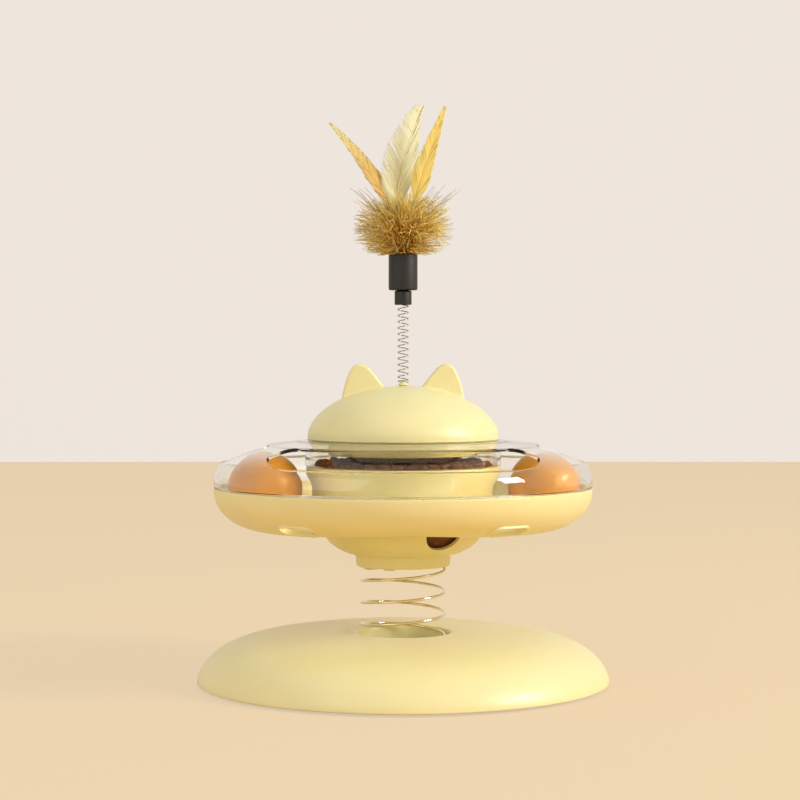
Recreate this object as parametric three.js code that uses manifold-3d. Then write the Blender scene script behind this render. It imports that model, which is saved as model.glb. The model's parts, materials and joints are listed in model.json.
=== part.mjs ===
// Cat teaser toy: a saucer on a wire spring over a weighted base.
// The saucer holds a treat bowl with a lid and a track with two balls under a clear cover.
// A thin spring on the lid carries a tuft with three feathers.
// Millimetres, +Z up, origin on the floor under the middle of the base. The front is at -Y.

import * as THREE from "three";
import { mergeVertices } from "three/addons/utils/BufferGeometryUtils.js";
import Module from "manifold-3d";

const wasm = await Module();
wasm.setup();

// Fits and roundness
const seatGap = 0.3;
const runningGap = 0.4;
const weldDistance = 1e-4;
const largeRound = 32;
const bowlRound = 28;
const mediumRound = 16;
const smallRound = 8;

// Base: dome, well for the spring, plate, ballast and feet
const baseRadius = 107.5;
const baseHeight = 26.6;
const baseFoot = 1.2;
const baseWall = 2.6;
const domeFullness = 5.5;
const domeShoulder = 1.7;
const domeSteps = 8;
const wellClearance = 1.5;
const wellWall = 2.4;
const wellLip = 1.2;
const wellFloor = 9.0;
const wellFloorWall = 2.5;
const plateBottom = 1.5;
const plateThickness = 2.2;
const plateMargin = 1.0;
const ballastInset = 7.1;
const ballastEdge = 31.5;
const ballastThickness = 5.0;
const ballastRibWidth = 1.4;
const ballastRibHeight = 2.5;
const footRadius = 8.0;
const footRecess = 0.9;
const footEdge = 27.5;
const plateScrewEdge = 19.5;
const plateBossRadius = 4.2;
const cornerCount = 4;

// Screws
const screwHeadRadius = 2.9;
const screwHeadHeight = 0.9;
const screwShankRadius = 1.1;
const screwPilotRadius = 1.5;
const plateScrewLength = 9.0;
const seatScrewLength = 5.0;
const screwTipHeight = 0.8;

// Big spring: one right-handed wire with closed ends, and the stand between its two seats
const wireRadius = 0.7;
const coilRadius = 21.8;
const coilPitch = 11.5;
const closedPitch = 2.2;
const lowerClosedTurns = 1.17;
const upperClosedTurns = 1.0;
const springStand = 56.7;
const curlSteps = 8;
const curlSides = 5;
const endCapWall = 0.5;
const endCapLength = 4.0;

// Spring seats: a disc with a hub inside the coil and barbs over the closed turn
const seatDiscThickness = 1.8;
const hubWall = 2.6;
const hubHeight = 6.6;
const seatHoleRadius = 6.0;
const seatScrewCircle = 11.5;
const seatBossRadius = 3.2;
const seatScrewCount = 3;
const barbThickness = 1.2;
const barbReach = 0.6;
const barbAngles = [170, 240, 310];
const barbWidthAngle = 14;
const notchDepth = 0.9;
const notchMargin = 1.0;

// Saucer: seam between tray and cover, tray wall as a rounded quarter section
const seamRadius = 98.6;
const trayDepth = 20.9;
const trayWall = 2.2;
const trayRoundWidth = 28.6;
const trayRoundness = 2.25;
const traySteps = 7;
const trayBeadDrop = 0.8;
const trayBeadWidth = 2.2;
const tongueWidth = 0.9;
const tongueHeight = 0.8;

// Openings low on the tray's wall
const slotAngles = [54, 126, 234, 306];
const slotLength = 21.0;
const slotWidth = 8.5;
const slotTurn = 36;
const slotLipWidth = 1.8;
const slotLipRise = 0.9;
const slotLipDepth = 3.0;

// Treat bowl: rim band, wall, shoulder on the tray, round underside and collar
const rimRadius = 50.6;
const rimRise = 12.7;
const bandHeight = 8.8;
const bandReach = 3.1;
const bandStep = 1.6;
const bowlWall = 2.0;
const bowlNeckRadius = 43.0;
const bowlRoundStart = 18.0;
const bowlDrop = 14.9;
const bowlSteps = 6;
const collarWall = 1.5;
const collarLength = 5.8;
const treatHoleRadius = 8.6;
const treatHoleAngle = -60;
const treatHoleDrop = 4.2;
const treatHoleTilt = 28;
const treatHoleTopMargin = 1.2;

// Treats that fill the bowl
const treatDrop = 3.2;
const treatCrown = 0.8;
const treatRound = 24;
const treatPocket = 1.0;

// Clear cover: shoulder, sloping top, neck and flange, three paw windows
const coverWall = 1.8;
const coverRise = 24.7;
const coverShoulderStart = 2.0;
const coverShoulderHeight = 14.0;
const coverTurnInset = 7.6;
const coverTurnDrop = 5.6;
const coverSlopeWidth = 25.6;
const coverSlopeDrop = 2.4;
const coverSteps = 6;
const flangeReach = 2.0;
const windowAngles = [30, 150, 270];
const windowHalfAngle = 52;
const windowEdge = 3.6;
const windowInset = 3.0;
const windowCorner = 9.0;

// Balls in the track
const ballRadius = 18.9;
const ballInset = 25.0;
const rightBallAngle = -3;
const leftBallAngle = 197;
const ballDetail = 3;

// Lid: dome with two ears, stepped plug ring with lugs
const lidRadius = 50.6;
const lidRimHeight = 2.1;
const lidRise = 27.9;
const lidWall = 2.2;
const lidSteps = 6;
const earDepth = 9.0;
const earBevel = 1.3;
const earInset = 7.0;
const earTipX = 21.9;
const earTipRise = 11.6;
const earRootDrop = 14.0;
const earOutset = 31.6;
const earTipHalfWidth = 4.4;
const earTipRound = 2.5;
const earInnerBulge = 11.0;
const earOuterBulge = 8.0;
const ringRadius = 39.0;
const ringWall = 1.8;
const ringDrop = 8.0;
const ringFlangeDrop = 1.8;
const ringGrip = 2.5;
const plugClearance = 1.3;
const lugAngles = [105, 225, 345];
const lugWidthAngle = 8;
const lugInset = 1.4;
const lugRise = 1.2;
const lugHeight = 2.8;

// Seat of the thin spring in the lid's top
const plugHeadRadius = 3.9;
const plugHeadHeight = 1.0;
const plugStemRadius = 3.1;
const plugPegLength = 6.0;
const plugWasherRadius = 7.0;
const plugWasherThickness = 1.5;
const plugBarbHeight = 1.6;
const plugBarbFlare = 1.0;

// Thin spring of the teaser, and the stand between its plug and its ferrule
const thinWireRadius = 0.3;
const thinCoilRadius = 2.7;
const thinPitch = 3.2;
const thinClosedPitch = 1.2;
const thinClosedTurns = 1.0;
const thinStand = 41.0;

// Ferrule and cup of the teaser
const ferruleRadius = 4.45;
const ferruleLength = 7.3;
const ferruleGrip = 5.0;
const ferruleNeckRadius = 3.0;
const ferruleNeckHeight = 2.8;
const cupRadius = 7.55;
const cupHeight = 18.5;
const cupWall = 1.4;
const cupFloor = 2.4;

// Tuft: a bound root with strands that spread from a small hub
const tuftHubRadius = 6.5;
const tuftHubRise = 15.2;
const tuftRootMargin = 0.35;
const tuftSpread = 26.0;
const tuftRise = 18.4;
const tuftDrop = 16.4;
const tuftDetail = 3;
const tuftClearAngle = 19;
const tuftShortest = 0.78;
const tuftCupMargin = 2.0;
const stubLength = 0.7;

// Feathers: length from the hub's middle and half width of each, and what they share
const featherThickness = 0.9;
const quillRadius = 0.6;
const vaneStart = 14.5;
const leftLength = 65.2;
const leftHalfWidth = 4.0;
const middleLength = 64.5;
const middleHalfWidth = 8.6;
const rightLength = 65.6;
const rightHalfWidth = 4.8;

// Lean to the side and pitch to the back, in degrees
const feathers = [
  { name: "feather_left", lean: -35.3, pitch: 4, length: leftLength, halfWidth: leftHalfWidth },
  { name: "feather_middle", lean: 6.5, pitch: -7, length: middleLength, halfWidth: middleHalfWidth },
  { name: "feather_right", lean: 19.2, pitch: 6, length: rightLength, halfWidth: rightHalfWidth },
];

// Radii that follow from the sizes above
const endCapRadius = wireRadius + endCapWall;
const wellRadius = coilRadius + endCapRadius + wellClearance;
const ballastInner = wellRadius + wellWall + ballastInset;
const ballastOuter = baseRadius - ballastEdge;
const footCircle = baseRadius - footEdge;
const plateScrewCircle = baseRadius - plateScrewEdge;
const seatDiscRadius = coilRadius + wireRadius;
const hubRadius = coilInside(coilRadius, wireRadius) - runningGap;
const collarInner = seatDiscRadius + runningGap;
const collarRadius = collarInner + collarWall;
const trayFlatRadius = seamRadius - trayRoundWidth;
const ballOrbit = seamRadius - ballInset;
const bowlWallRadius = rimRadius - bandReach;
const bowlRoundWidth = bowlNeckRadius - bowlRoundStart;
const coverTurnRadius = seamRadius - coverTurnInset;
const coverSlopeRadius = seamRadius - coverSlopeWidth;
const windowOuter = seamRadius - windowEdge;
const windowInner = coverSlopeRadius - windowInset;
const ringFlangeRadius = lidRadius - lidWall - seatGap;
const neckInner = ringFlangeRadius + plugClearance;
const flangeRadius = rimRadius + flangeReach;
const tuftRootRadius = cupRadius - cupWall - tuftRootMargin;

// Heights that follow, from the floor up
const plateTop = plateBottom + plateThickness;
const ballastBottom = plateTop + seatGap;
const lowerSeatBottom = wellFloor + seatGap;
const upperSeatTop = lowerSeatBottom + springStand;
const springFoot = lowerSeatBottom + seatDiscThickness + seatGap + endCapRadius;
const springTop = upperSeatTop - seatDiscThickness - seatGap - wireRadius;
const bowlBottom = upperSeatTop + seatGap;
const collarBottom = bowlBottom - collarLength;
const trayBottom = bowlBottom + bowlDrop;
const trayFloor = trayBottom + trayWall;
const seamHeight = trayBottom + trayDepth;
const bowlShoulder = trayFloor + seatGap;
const bowlRoundDrop = bowlShoulder - bowlBottom;
const treatHoleHeight = bowlShoulder - treatHoleDrop;
const rimTop = seamHeight + rimRise;
const bandBottom = rimTop - bandHeight;
const treatTop = rimTop - treatDrop;
const coverBottom = seamHeight + seatGap;
const flangeHeight = seamHeight + coverRise;
const coverTurnHeight = flangeHeight - coverTurnDrop;
const coverSlopeHeight = flangeHeight - coverSlopeDrop;
const neckBottom = rimTop + seatGap;
const ballHeight = trayFloor + seatGap + ballRadius;
const lidBottom = flangeHeight + seatGap;
const lidShoulder = lidBottom + lidRimHeight;
const lidTop = lidBottom + lidRise;
const earTipZ = lidTop + earTipRise;
const earRoot = lidTop - earRootDrop;
const ringBottom = lidBottom - ringDrop;
const ringFlangeBottom = lidBottom - ringFlangeDrop;
const ringTop = lidBottom + ringGrip;
const lugBottom = ringBottom + lugRise;
const plugHeadBottom = lidTop + seatGap;
const plugHeadTop = plugHeadBottom + plugHeadHeight;
const thinFoot = plugHeadTop + seatGap + thinWireRadius;
const ferruleBottom = plugHeadTop + thinStand;
const ferruleTop = ferruleBottom + ferruleLength;
const thinTop = ferruleBottom + ferruleGrip;
const cupBottom = ferruleTop + seatGap;
const cupTop = cupBottom + cupHeight;
const tuftHubHeight = cupTop + tuftHubRise;

const yellow = new THREE.MeshStandardMaterial({ color: 0xf3e6a4, roughness: 0.5 });
const clear = new THREE.MeshStandardMaterial({ color: 0xf4f1e6, roughness: 0.08, transparent: true, opacity: 0.3 });
const orange = new THREE.MeshStandardMaterial({ color: 0xe79a34, roughness: 0.4 });
const black = new THREE.MeshStandardMaterial({ color: 0x2e2a27, roughness: 0.55 });
const steel = new THREE.MeshStandardMaterial({ color: 0xb9b4a6, roughness: 0.28, metalness: 1 });
const iron = new THREE.MeshStandardMaterial({ color: 0x54524f, roughness: 0.7, metalness: 1 });
const rubber = new THREE.MeshStandardMaterial({ color: 0xd9cf9c, roughness: 0.85 });
const kibble = new THREE.MeshStandardMaterial({ color: 0x7a4a21, roughness: 0.9 });
const mustard = new THREE.MeshStandardMaterial({ color: 0xdca83c, roughness: 0.6 });
const paleFeather = new THREE.MeshStandardMaterial({ color: 0xf0e4a0, roughness: 0.8 });

const toy = new THREE.Group();

// Free radius inside a coil, whose curls are drawn with straight steps.
function coilInside(radius, wire) {
  return radius * Math.cos(Math.PI / curlSteps) - wire;
}

// Turns a geometry into a closed solid: shared points are welded, folded triangles dropped,
// and the faces turned outward.
function solid(geometry) {
  const bare = new THREE.BufferGeometry();
  bare.setAttribute("position", geometry.getAttribute("position").clone());
  if (geometry.index) {
    bare.setIndex(geometry.index.clone());
  }
  const merged = mergeVertices(bare, weldDistance);
  const corners = merged.getAttribute("position").array;
  const index = merged.index.array;
  const triangles = [];
  let volume = 0;
  for (let i = 0; i < index.length; i += 3) {
    const [a, b, c] = [index[i], index[i + 1], index[i + 2]];
    if (a === b || b === c || c === a) {
      continue;
    }
    triangles.push(a, b, c);
    const p = new THREE.Vector3().fromArray(corners, 3 * a);
    const q = new THREE.Vector3().fromArray(corners, 3 * b);
    const r = new THREE.Vector3().fromArray(corners, 3 * c);
    volume += p.dot(q.cross(r));
  }
  if (volume < 0) {
    triangles.reverse();
  }
  return new wasm.Manifold(new wasm.Mesh({
    numProp: 3,
    vertProperties: Float32Array.from(corners),
    triVerts: Uint32Array.from(triangles),
  }));
}

function geometryOf(piece) {
  const cut = piece.getMesh();
  const geometry = new THREE.BufferGeometry();
  geometry.setAttribute("position", new THREE.BufferAttribute(Float32Array.from(cut.vertProperties), 3));
  geometry.setIndex(new THREE.BufferAttribute(Uint32Array.from(cut.triVerts), 1));
  return geometry;
}

function addPiece(name, piece, material) {
  const geometry = geometryOf(piece);
  geometry.computeVertexNormals();
  const mesh = new THREE.Mesh(geometry, material);
  mesh.name = name;
  toy.add(mesh);
}

// A turned shape from its half section of [radius, height] points.
function turned(section, segments) {
  const profile = section.map(([radius, height]) => new THREE.Vector2(radius, height));
  return new THREE.LatheGeometry(profile, segments).rotateX(Math.PI / 2);
}

function turnedRing(section, segments) {
  return turned([...section, section[0]], segments);
}

function cylinder(radius, bottom, top, segments) {
  const shape = new THREE.CylinderGeometry(radius, radius, top - bottom, segments);
  return shape.rotateX(Math.PI / 2).translate(0, 0, (bottom + top) / 2);
}

function radians(degrees) {
  return THREE.MathUtils.degToRad(degrees);
}

// Places a geometry at a radius and an angle about the Z axis.
function aroundAxis(geometry, radius, angle) {
  return geometry.translate(radius, 0, 0).rotateZ(radians(angle));
}

// Moves an open outline of [radius, height] points sideways by a distance, to its right.
function offsetOutline(outline, distance) {
  return outline.map(([radius, height], i) => {
    const before = outline[Math.max(i - 1, 0)];
    const after = outline[Math.min(i + 1, outline.length - 1)];
    const along = new THREE.Vector2(after[0] - before[0], after[1] - before[1]).normalize();
    return [radius + along.y * distance, height - along.x * distance];
  });
}

// The height of an outline of [radius, height] points at a radius that it passes.
function heightOn(outline, radius) {
  for (let i = 1; i < outline.length; i++) {
    const [[fromRadius, fromHeight], [toRadius, toHeight]] = [outline[i - 1], outline[i]];
    const share = (radius - fromRadius) / (toRadius - fromRadius);
    if (share >= 0 && share <= 1) {
      return THREE.MathUtils.lerp(fromHeight, toHeight, share);
    }
  }
  return outline[0][1];
}

// Part of a flat ring between two radii and two angles, as a shape.
function ringSector(inner, outer, from, to) {
  const shape = new THREE.Shape();
  shape.absarc(0, 0, outer, radians(from), radians(to), false);
  shape.absarc(0, 0, inner, radians(to), radians(from), true);
  shape.closePath();
  return shape;
}

function extruded(shape, bottom, top, curveSegments = 8) {
  const options = { depth: top - bottom, bevelEnabled: false, curveSegments };
  return new THREE.ExtrudeGeometry(shape, options).translate(0, 0, bottom);
}

function screwShape(length) {
  const neck = length - screwTipHeight;
  return turned([
    [0, -screwHeadHeight],
    [screwHeadRadius, -screwHeadHeight],
    [screwHeadRadius, 0],
    [screwShankRadius, 0],
    [screwShankRadius, neck],
    [0, length],
  ], smallRound);
}

// Base

// Outer curve of a dome from a given radius to its edge.
function domeCurve(radius, height, fromRadius) {
  const start = Math.asin((fromRadius / radius) ** (domeFullness / 2));
  const points = [];
  for (let i = 0; i <= domeSteps; i++) {
    const turn = THREE.MathUtils.lerp(start, Math.PI / 2, i / domeSteps);
    const across = Math.sin(turn) ** (2 / domeFullness);
    const up = Math.max(Math.cos(turn), 0) ** (2 / domeShoulder);
    points.push([radius * across, baseFoot + height * up]);
  }
  return points;
}

function cornerAngle(i, offset) {
  return offset + (360 / cornerCount) * i;
}

function makeBase() {
  const outer = domeCurve(baseRadius, baseHeight - baseFoot, wellRadius + wellLip);
  const crown = baseHeight - baseFoot - baseWall;
  const inner = domeCurve(baseRadius - baseWall, crown, wellRadius + wellWall);
  const floorBottom = wellFloor - wellFloorWall;
  let shell = solid(turned([
    [0, wellFloor],
    [wellRadius, wellFloor],
    [wellRadius, outer[0][1] - wellLip],
    ...outer,
    ...inner.reverse(),
    [wellRadius + wellWall, floorBottom],
    [0, floorBottom],
  ], largeRound));

  const bossTop = heightOn(inner, plateScrewCircle) + baseWall / 2;
  for (let i = 0; i < cornerCount; i++) {
    const angle = cornerAngle(i, 0);
    const boss = cylinder(plateBossRadius, plateTop + seatGap, bossTop, smallRound);
    const pilot = cylinder(screwPilotRadius, plateBottom, plateTop + plateScrewLength, smallRound);
    shell = shell.add(solid(aroundAxis(boss, plateScrewCircle, angle)));
    shell = shell.subtract(solid(aroundAxis(pilot, plateScrewCircle, angle)));
  }
  for (let i = 0; i < seatScrewCount; i++) {
    const angle = (360 / seatScrewCount) * i;
    const boss = cylinder(seatBossRadius, plateTop + seatGap, wellFloor - wellFloorWall / 2, smallRound);
    const pilot = cylinder(screwPilotRadius, wellFloor - seatScrewLength, wellFloor + 1, smallRound);
    shell = shell.add(solid(aroundAxis(boss, seatScrewCircle, angle)));
    shell = shell.subtract(solid(aroundAxis(pilot, seatScrewCircle, angle)));
  }
  addPiece("base_shell", shell, yellow);
}

function makePlate() {
  const edge = baseRadius - baseWall - plateMargin;
  const ribOuter = ballastInner - runningGap;
  const ribInner = ribOuter - ballastRibWidth;
  const ribTop = plateTop + ballastRibHeight;
  let plate = solid(turned([
    [0, plateBottom],
    [edge, plateBottom],
    [edge, plateTop],
    [ribOuter, plateTop],
    [ribOuter, ribTop],
    [ribInner, ribTop],
    [ribInner, plateTop],
    [0, plateTop],
  ], largeRound));

  const headRecess = screwHeadHeight + seatGap;
  for (let i = 0; i < cornerCount; i++) {
    const screwAngle = cornerAngle(i, 0);
    const footAngle = cornerAngle(i, 180 / cornerCount);
    const hole = cylinder(screwPilotRadius, 0, plateTop + 1, smallRound);
    const sink = cylinder(screwHeadRadius + runningGap, 0, plateBottom + headRecess, smallRound);
    const recess = cylinder(footRadius + runningGap, 0, plateBottom + footRecess, mediumRound);
    plate = plate.subtract(solid(aroundAxis(hole, plateScrewCircle, screwAngle)));
    plate = plate.subtract(solid(aroundAxis(sink, plateScrewCircle, screwAngle)));
    plate = plate.subtract(solid(aroundAxis(recess, footCircle, footAngle)));

    const screw = screwShape(plateScrewLength).translate(0, 0, plateBottom + screwHeadHeight);
    addPiece(`plate_screw_${i + 1}`, solid(aroundAxis(screw, plateScrewCircle, screwAngle)), steel);
    const foot = cylinder(footRadius, 0, plateBottom + footRecess - seatGap, mediumRound);
    addPiece(`rubber_foot_${i + 1}`, solid(aroundAxis(foot, footCircle, footAngle)), rubber);
  }
  addPiece("base_plate", plate, yellow);

  const ballast = turnedRing([
    [ballastInner, ballastBottom],
    [ballastOuter, ballastBottom],
    [ballastOuter, ballastBottom + ballastThickness],
    [ballastInner, ballastBottom + ballastThickness],
  ], largeRound);
  addPiece("base_ballast", solid(ballast), iron);
}

// Springs

// Rises of a wire coil with closed ends, as a function of the turns from its foot.
function coilRise(spring) {
  const closedRise = spring.closedPitch * (spring.footTurns + spring.headTurns);
  const openTurns = (spring.top - spring.foot - closedRise) / spring.pitch;
  const openStart = spring.footTurns;
  const openEnd = openStart + openTurns;
  const rise = (turns) => {
    const closedBelow = Math.min(turns, openStart);
    const open = THREE.MathUtils.clamp(turns - openStart, 0, openTurns);
    const closedAbove = Math.max(turns - openEnd, 0);
    return spring.foot + spring.closedPitch * (closedBelow + closedAbove) + spring.pitch * open;
  };
  return { rise, turns: openEnd + spring.headTurns };
}

function coilPoint(spring, turns, height) {
  const angle = 2 * Math.PI * turns;
  return new THREE.Vector3(spring.radius * Math.cos(angle), spring.radius * Math.sin(angle), height);
}

// The least distance between the wire's surface on one turn and on another.
function leastCoilGap(points, wire) {
  let least = Infinity;
  for (let i = 0; i < points.length; i++) {
    for (let j = i + Math.floor(curlSteps / 2); j < points.length - 1; j++) {
      const stretch = new THREE.Line3(points[j], points[j + 1]);
      const nearest = stretch.closestPointToPoint(points[i], true, new THREE.Vector3());
      least = Math.min(least, nearest.distanceTo(points[i]) - 2 * wire);
    }
  }
  return least;
}

// One unbroken round wire along a coil, with flat ends.
function coilGeometry(name, spring) {
  const { rise, turns } = coilRise(spring);
  const steps = Math.round(turns * curlSteps);
  const points = [];
  for (let i = 0; i <= steps; i++) {
    const at = (turns * i) / steps;
    points.push(coilPoint(spring, at, rise(at)));
  }
  console.log(`${name}: least gap between curls ${leastCoilGap(points, spring.wire).toFixed(2)} mm`);

  const corners = [];
  for (let i = 0; i <= steps; i++) {
    const before = points[Math.max(i - 1, 0)];
    const after = points[Math.min(i + 1, steps)];
    const along = after.clone().sub(before).normalize();
    const outward = new THREE.Vector3(points[i].x, points[i].y, 0).normalize();
    const upward = along.clone().cross(outward).normalize();
    for (let side = 0; side < curlSides; side++) {
      const turn = (2 * Math.PI * side) / curlSides;
      const corner = points[i].clone();
      corner.addScaledVector(outward, spring.wire * Math.cos(turn));
      corner.addScaledVector(upward, spring.wire * Math.sin(turn));
      corners.push(...corner.toArray());
    }
  }
  const index = [];
  for (let i = 0; i < steps; i++) {
    for (let side = 0; side < curlSides; side++) {
      const next = (side + 1) % curlSides;
      const [a, b] = [i * curlSides + side, i * curlSides + next];
      const [c, d] = [a + curlSides, b + curlSides];
      index.push(a, b, d, a, d, c);
    }
  }
  const last = steps * curlSides;
  for (let side = 1; side < curlSides - 1; side++) {
    index.push(0, side + 1, side);
    index.push(last, last + side, last + side + 1);
  }
  const geometry = new THREE.BufferGeometry();
  geometry.setAttribute("position", new THREE.Float32BufferAttribute(corners, 3));
  geometry.setIndex(index);
  return geometry;
}

const bigCoil = {
  radius: coilRadius,
  wire: wireRadius,
  pitch: coilPitch,
  closedPitch,
  footTurns: lowerClosedTurns,
  headTurns: upperClosedTurns,
  foot: springFoot,
  top: springTop,
};

const thinCoil = {
  radius: thinCoilRadius,
  wire: thinWireRadius,
  pitch: thinPitch,
  closedPitch: thinClosedPitch,
  footTurns: thinClosedTurns,
  headTurns: thinClosedTurns,
  foot: thinFoot,
  top: thinTop,
};

// A disc with a hub inside the coil and barbs that hold its closed turn.
// barbs lists the angle of each barb and how far its lower face is from the disc's seat.
function springSeat(barbs) {
  const hubTop = seatDiscThickness + hubHeight;
  let seat = solid(turnedRing([
    [seatHoleRadius, 0],
    [seatDiscRadius, 0],
    [seatDiscRadius, seatDiscThickness],
    [hubRadius, seatDiscThickness],
    [hubRadius, hubTop],
    [hubRadius - hubWall, hubTop],
    [hubRadius - hubWall, seatDiscThickness],
    [seatHoleRadius, seatDiscThickness],
  ], mediumRound));
  for (const { angle, height } of barbs) {
    const half = barbWidthAngle / 2;
    const shape = ringSector(hubRadius - hubWall / 2, coilRadius + barbReach, angle - half, angle + half);
    seat = seat.add(solid(extruded(shape, height, height + barbThickness, 2)));
  }
  for (let i = 0; i < seatScrewCount; i++) {
    const hole = cylinder(screwPilotRadius, -1, seatDiscThickness + 1, smallRound);
    seat = seat.subtract(solid(aroundAxis(hole, seatScrewCircle, (360 / seatScrewCount) * i)));
  }
  return seat;
}

// The notch in the lower seat's edge that gives the wire's end cap room when the spring leans.
function capNotch() {
  const across = 2 * (endCapRadius + notchMargin);
  const along = endCapLength + 2 * notchMargin;
  const notch = new THREE.BoxGeometry(across, along, 2 * notchDepth);
  const middle = -seatGap - endCapLength / 2;
  return solid(notch.translate(coilRadius, middle, lowerSeatBottom + seatDiscThickness));
}

function makeSprings() {
  addPiece("big_spring", solid(coilGeometry("big_spring", bigCoil)), steel);
  addPiece("teaser_spring", solid(coilGeometry("teaser_spring", thinCoil)), steel);

  const { rise, turns } = coilRise(bigCoil);
  const barbLift = wireRadius + seatGap;
  const lowerBarbs = barbAngles.map((angle) => ({
    angle,
    height: rise(angle / 360) + barbLift - lowerSeatBottom,
  }));
  const lowerSeat = geometryOf(springSeat(lowerBarbs)).translate(0, 0, lowerSeatBottom);
  addPiece("lower_spring_seat", solid(lowerSeat).subtract(capNotch()), yellow);

  const upperBarbs = barbAngles.map((angle) => {
    const wireTurns = turns - angle / 360;
    return { angle: -360 * wireTurns, height: upperSeatTop - rise(wireTurns) + barbLift };
  });
  const upperSeat = geometryOf(springSeat(upperBarbs)).rotateX(Math.PI).translate(0, 0, upperSeatTop);
  addPiece("upper_spring_seat", solid(upperSeat), yellow);

  for (let i = 0; i < seatScrewCount; i++) {
    const angle = (360 / seatScrewCount) * i;
    const lower = screwShape(seatScrewLength).rotateX(Math.PI);
    lower.translate(0, 0, lowerSeatBottom + seatDiscThickness + seatGap);
    addPiece(`lower_seat_screw_${i + 1}`, solid(aroundAxis(lower, seatScrewCircle, angle)), steel);
    const upper = screwShape(seatScrewLength).translate(0, 0, upperSeatTop - seatDiscThickness - seatGap);
    addPiece(`upper_seat_screw_${i + 1}`, solid(aroundAxis(upper, seatScrewCircle, angle)), steel);
  }

  // The cap stands off the wire's end, on the X axis, and continues it.
  const cap = cylinder(endCapRadius, -endCapLength, 0, smallRound).rotateX(-Math.PI / 2);
  cap.translate(coilRadius, -seatGap, springFoot);
  addPiece("spring_end_cap", solid(cap), black);
}

// Saucer

// A point of the tray's rounded quarter section, from the flat floor at 0 degrees to the seam at 90.
function trayPoint(inset, degrees) {
  const across = Math.sin(radians(degrees)) ** (2 / trayRoundness);
  const down = Math.max(Math.cos(radians(degrees)), 0) ** (2 / trayRoundness);
  const radius = trayFlatRadius + (trayRoundWidth - inset) * across;
  return [radius, seamHeight - (trayDepth - inset) * down];
}

function trayCurve(inset) {
  const points = [];
  for (let i = 0; i <= traySteps; i++) {
    points.push(trayPoint(inset, 90 * (i / traySteps)));
  }
  return points;
}

function slotShape(margin) {
  const half = slotWidth / 2 + margin;
  const straight = slotLength / 2 - slotWidth / 2;
  const shape = new THREE.Shape();
  shape.absarc(0, straight, half, 0, Math.PI, false);
  shape.absarc(0, -straight, half, Math.PI, 2 * Math.PI, false);
  shape.closePath();
  return shape;
}

// A prism through the tray's wall, square to its slope, at one of the slots.
function slotPrism(margin, inward, outward, angle) {
  const [radius, height] = trayPoint(trayWall / 2, slotTurn);
  const [nextRadius, nextHeight] = trayPoint(trayWall / 2, slotTurn + 1);
  const slope = Math.atan2(nextHeight - height, nextRadius - radius);
  const prism = extruded(slotShape(margin), -outward, inward, 3);
  prism.rotateY(-slope).translate(radius, 0, height);
  return solid(prism.rotateZ(radians(angle)));
}

function makeTray() {
  const holeRadius = bowlNeckRadius + runningGap;
  const outer = trayCurve(0);
  const inner = trayCurve(trayWall);
  const tongueInner = seamRadius - trayWall;
  const tongueOuter = tongueInner + tongueWidth;
  const tongueTop = seamHeight + tongueHeight;
  let tray = solid(turnedRing([
    [holeRadius, trayBottom - trayBeadDrop],
    [holeRadius + trayBeadWidth, trayBottom - trayBeadDrop],
    [holeRadius + trayBeadWidth, trayBottom],
    ...outer,
    [tongueOuter, seamHeight],
    [tongueOuter, tongueTop],
    [tongueInner, tongueTop],
    ...inner.reverse(),
    [holeRadius, trayFloor],
  ], largeRound));
  const cavity = solid(turned([
    [0, trayFloor],
    ...trayCurve(trayWall),
    [tongueInner, tongueTop + 1],
    [0, tongueTop + 1],
  ], largeRound));
  for (const angle of slotAngles) {
    const lip = slotPrism(slotLipWidth, slotLipDepth, slotLipRise, angle).subtract(cavity);
    tray = tray.add(lip);
    tray = tray.subtract(slotPrism(0, slotLength, slotLength, angle));
  }
  addPiece("saucer_tray", tray, yellow);
}

function bowlCurve(inset) {
  const points = [];
  for (let i = 0; i <= bowlSteps; i++) {
    const turn = (Math.PI / 2) * (i / bowlSteps);
    const radius = bowlRoundStart + (bowlRoundWidth - inset) * Math.cos(turn);
    points.push([radius, bowlShoulder - (bowlRoundDrop - inset) * Math.sin(turn)]);
  }
  return points;
}

// A cylinder through the bowl's wall at the treat hole, level along its top edge.
function treatHoleCutter(radius, reach) {
  const bore = cylinder(radius, -reach, reach, mediumRound);
  bore.rotateY(radians(90 + treatHoleTilt));
  const wallRadius = bowlRoundStart + bowlRoundWidth;
  bore.translate(wallRadius, 0, treatHoleHeight).rotateZ(radians(treatHoleAngle));
  const top = bowlShoulder - treatHoleTopMargin;
  const below = cylinder(seamRadius, bowlBottom - seamRadius, top, smallRound);
  return solid(bore).intersect(solid(below));
}

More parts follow.
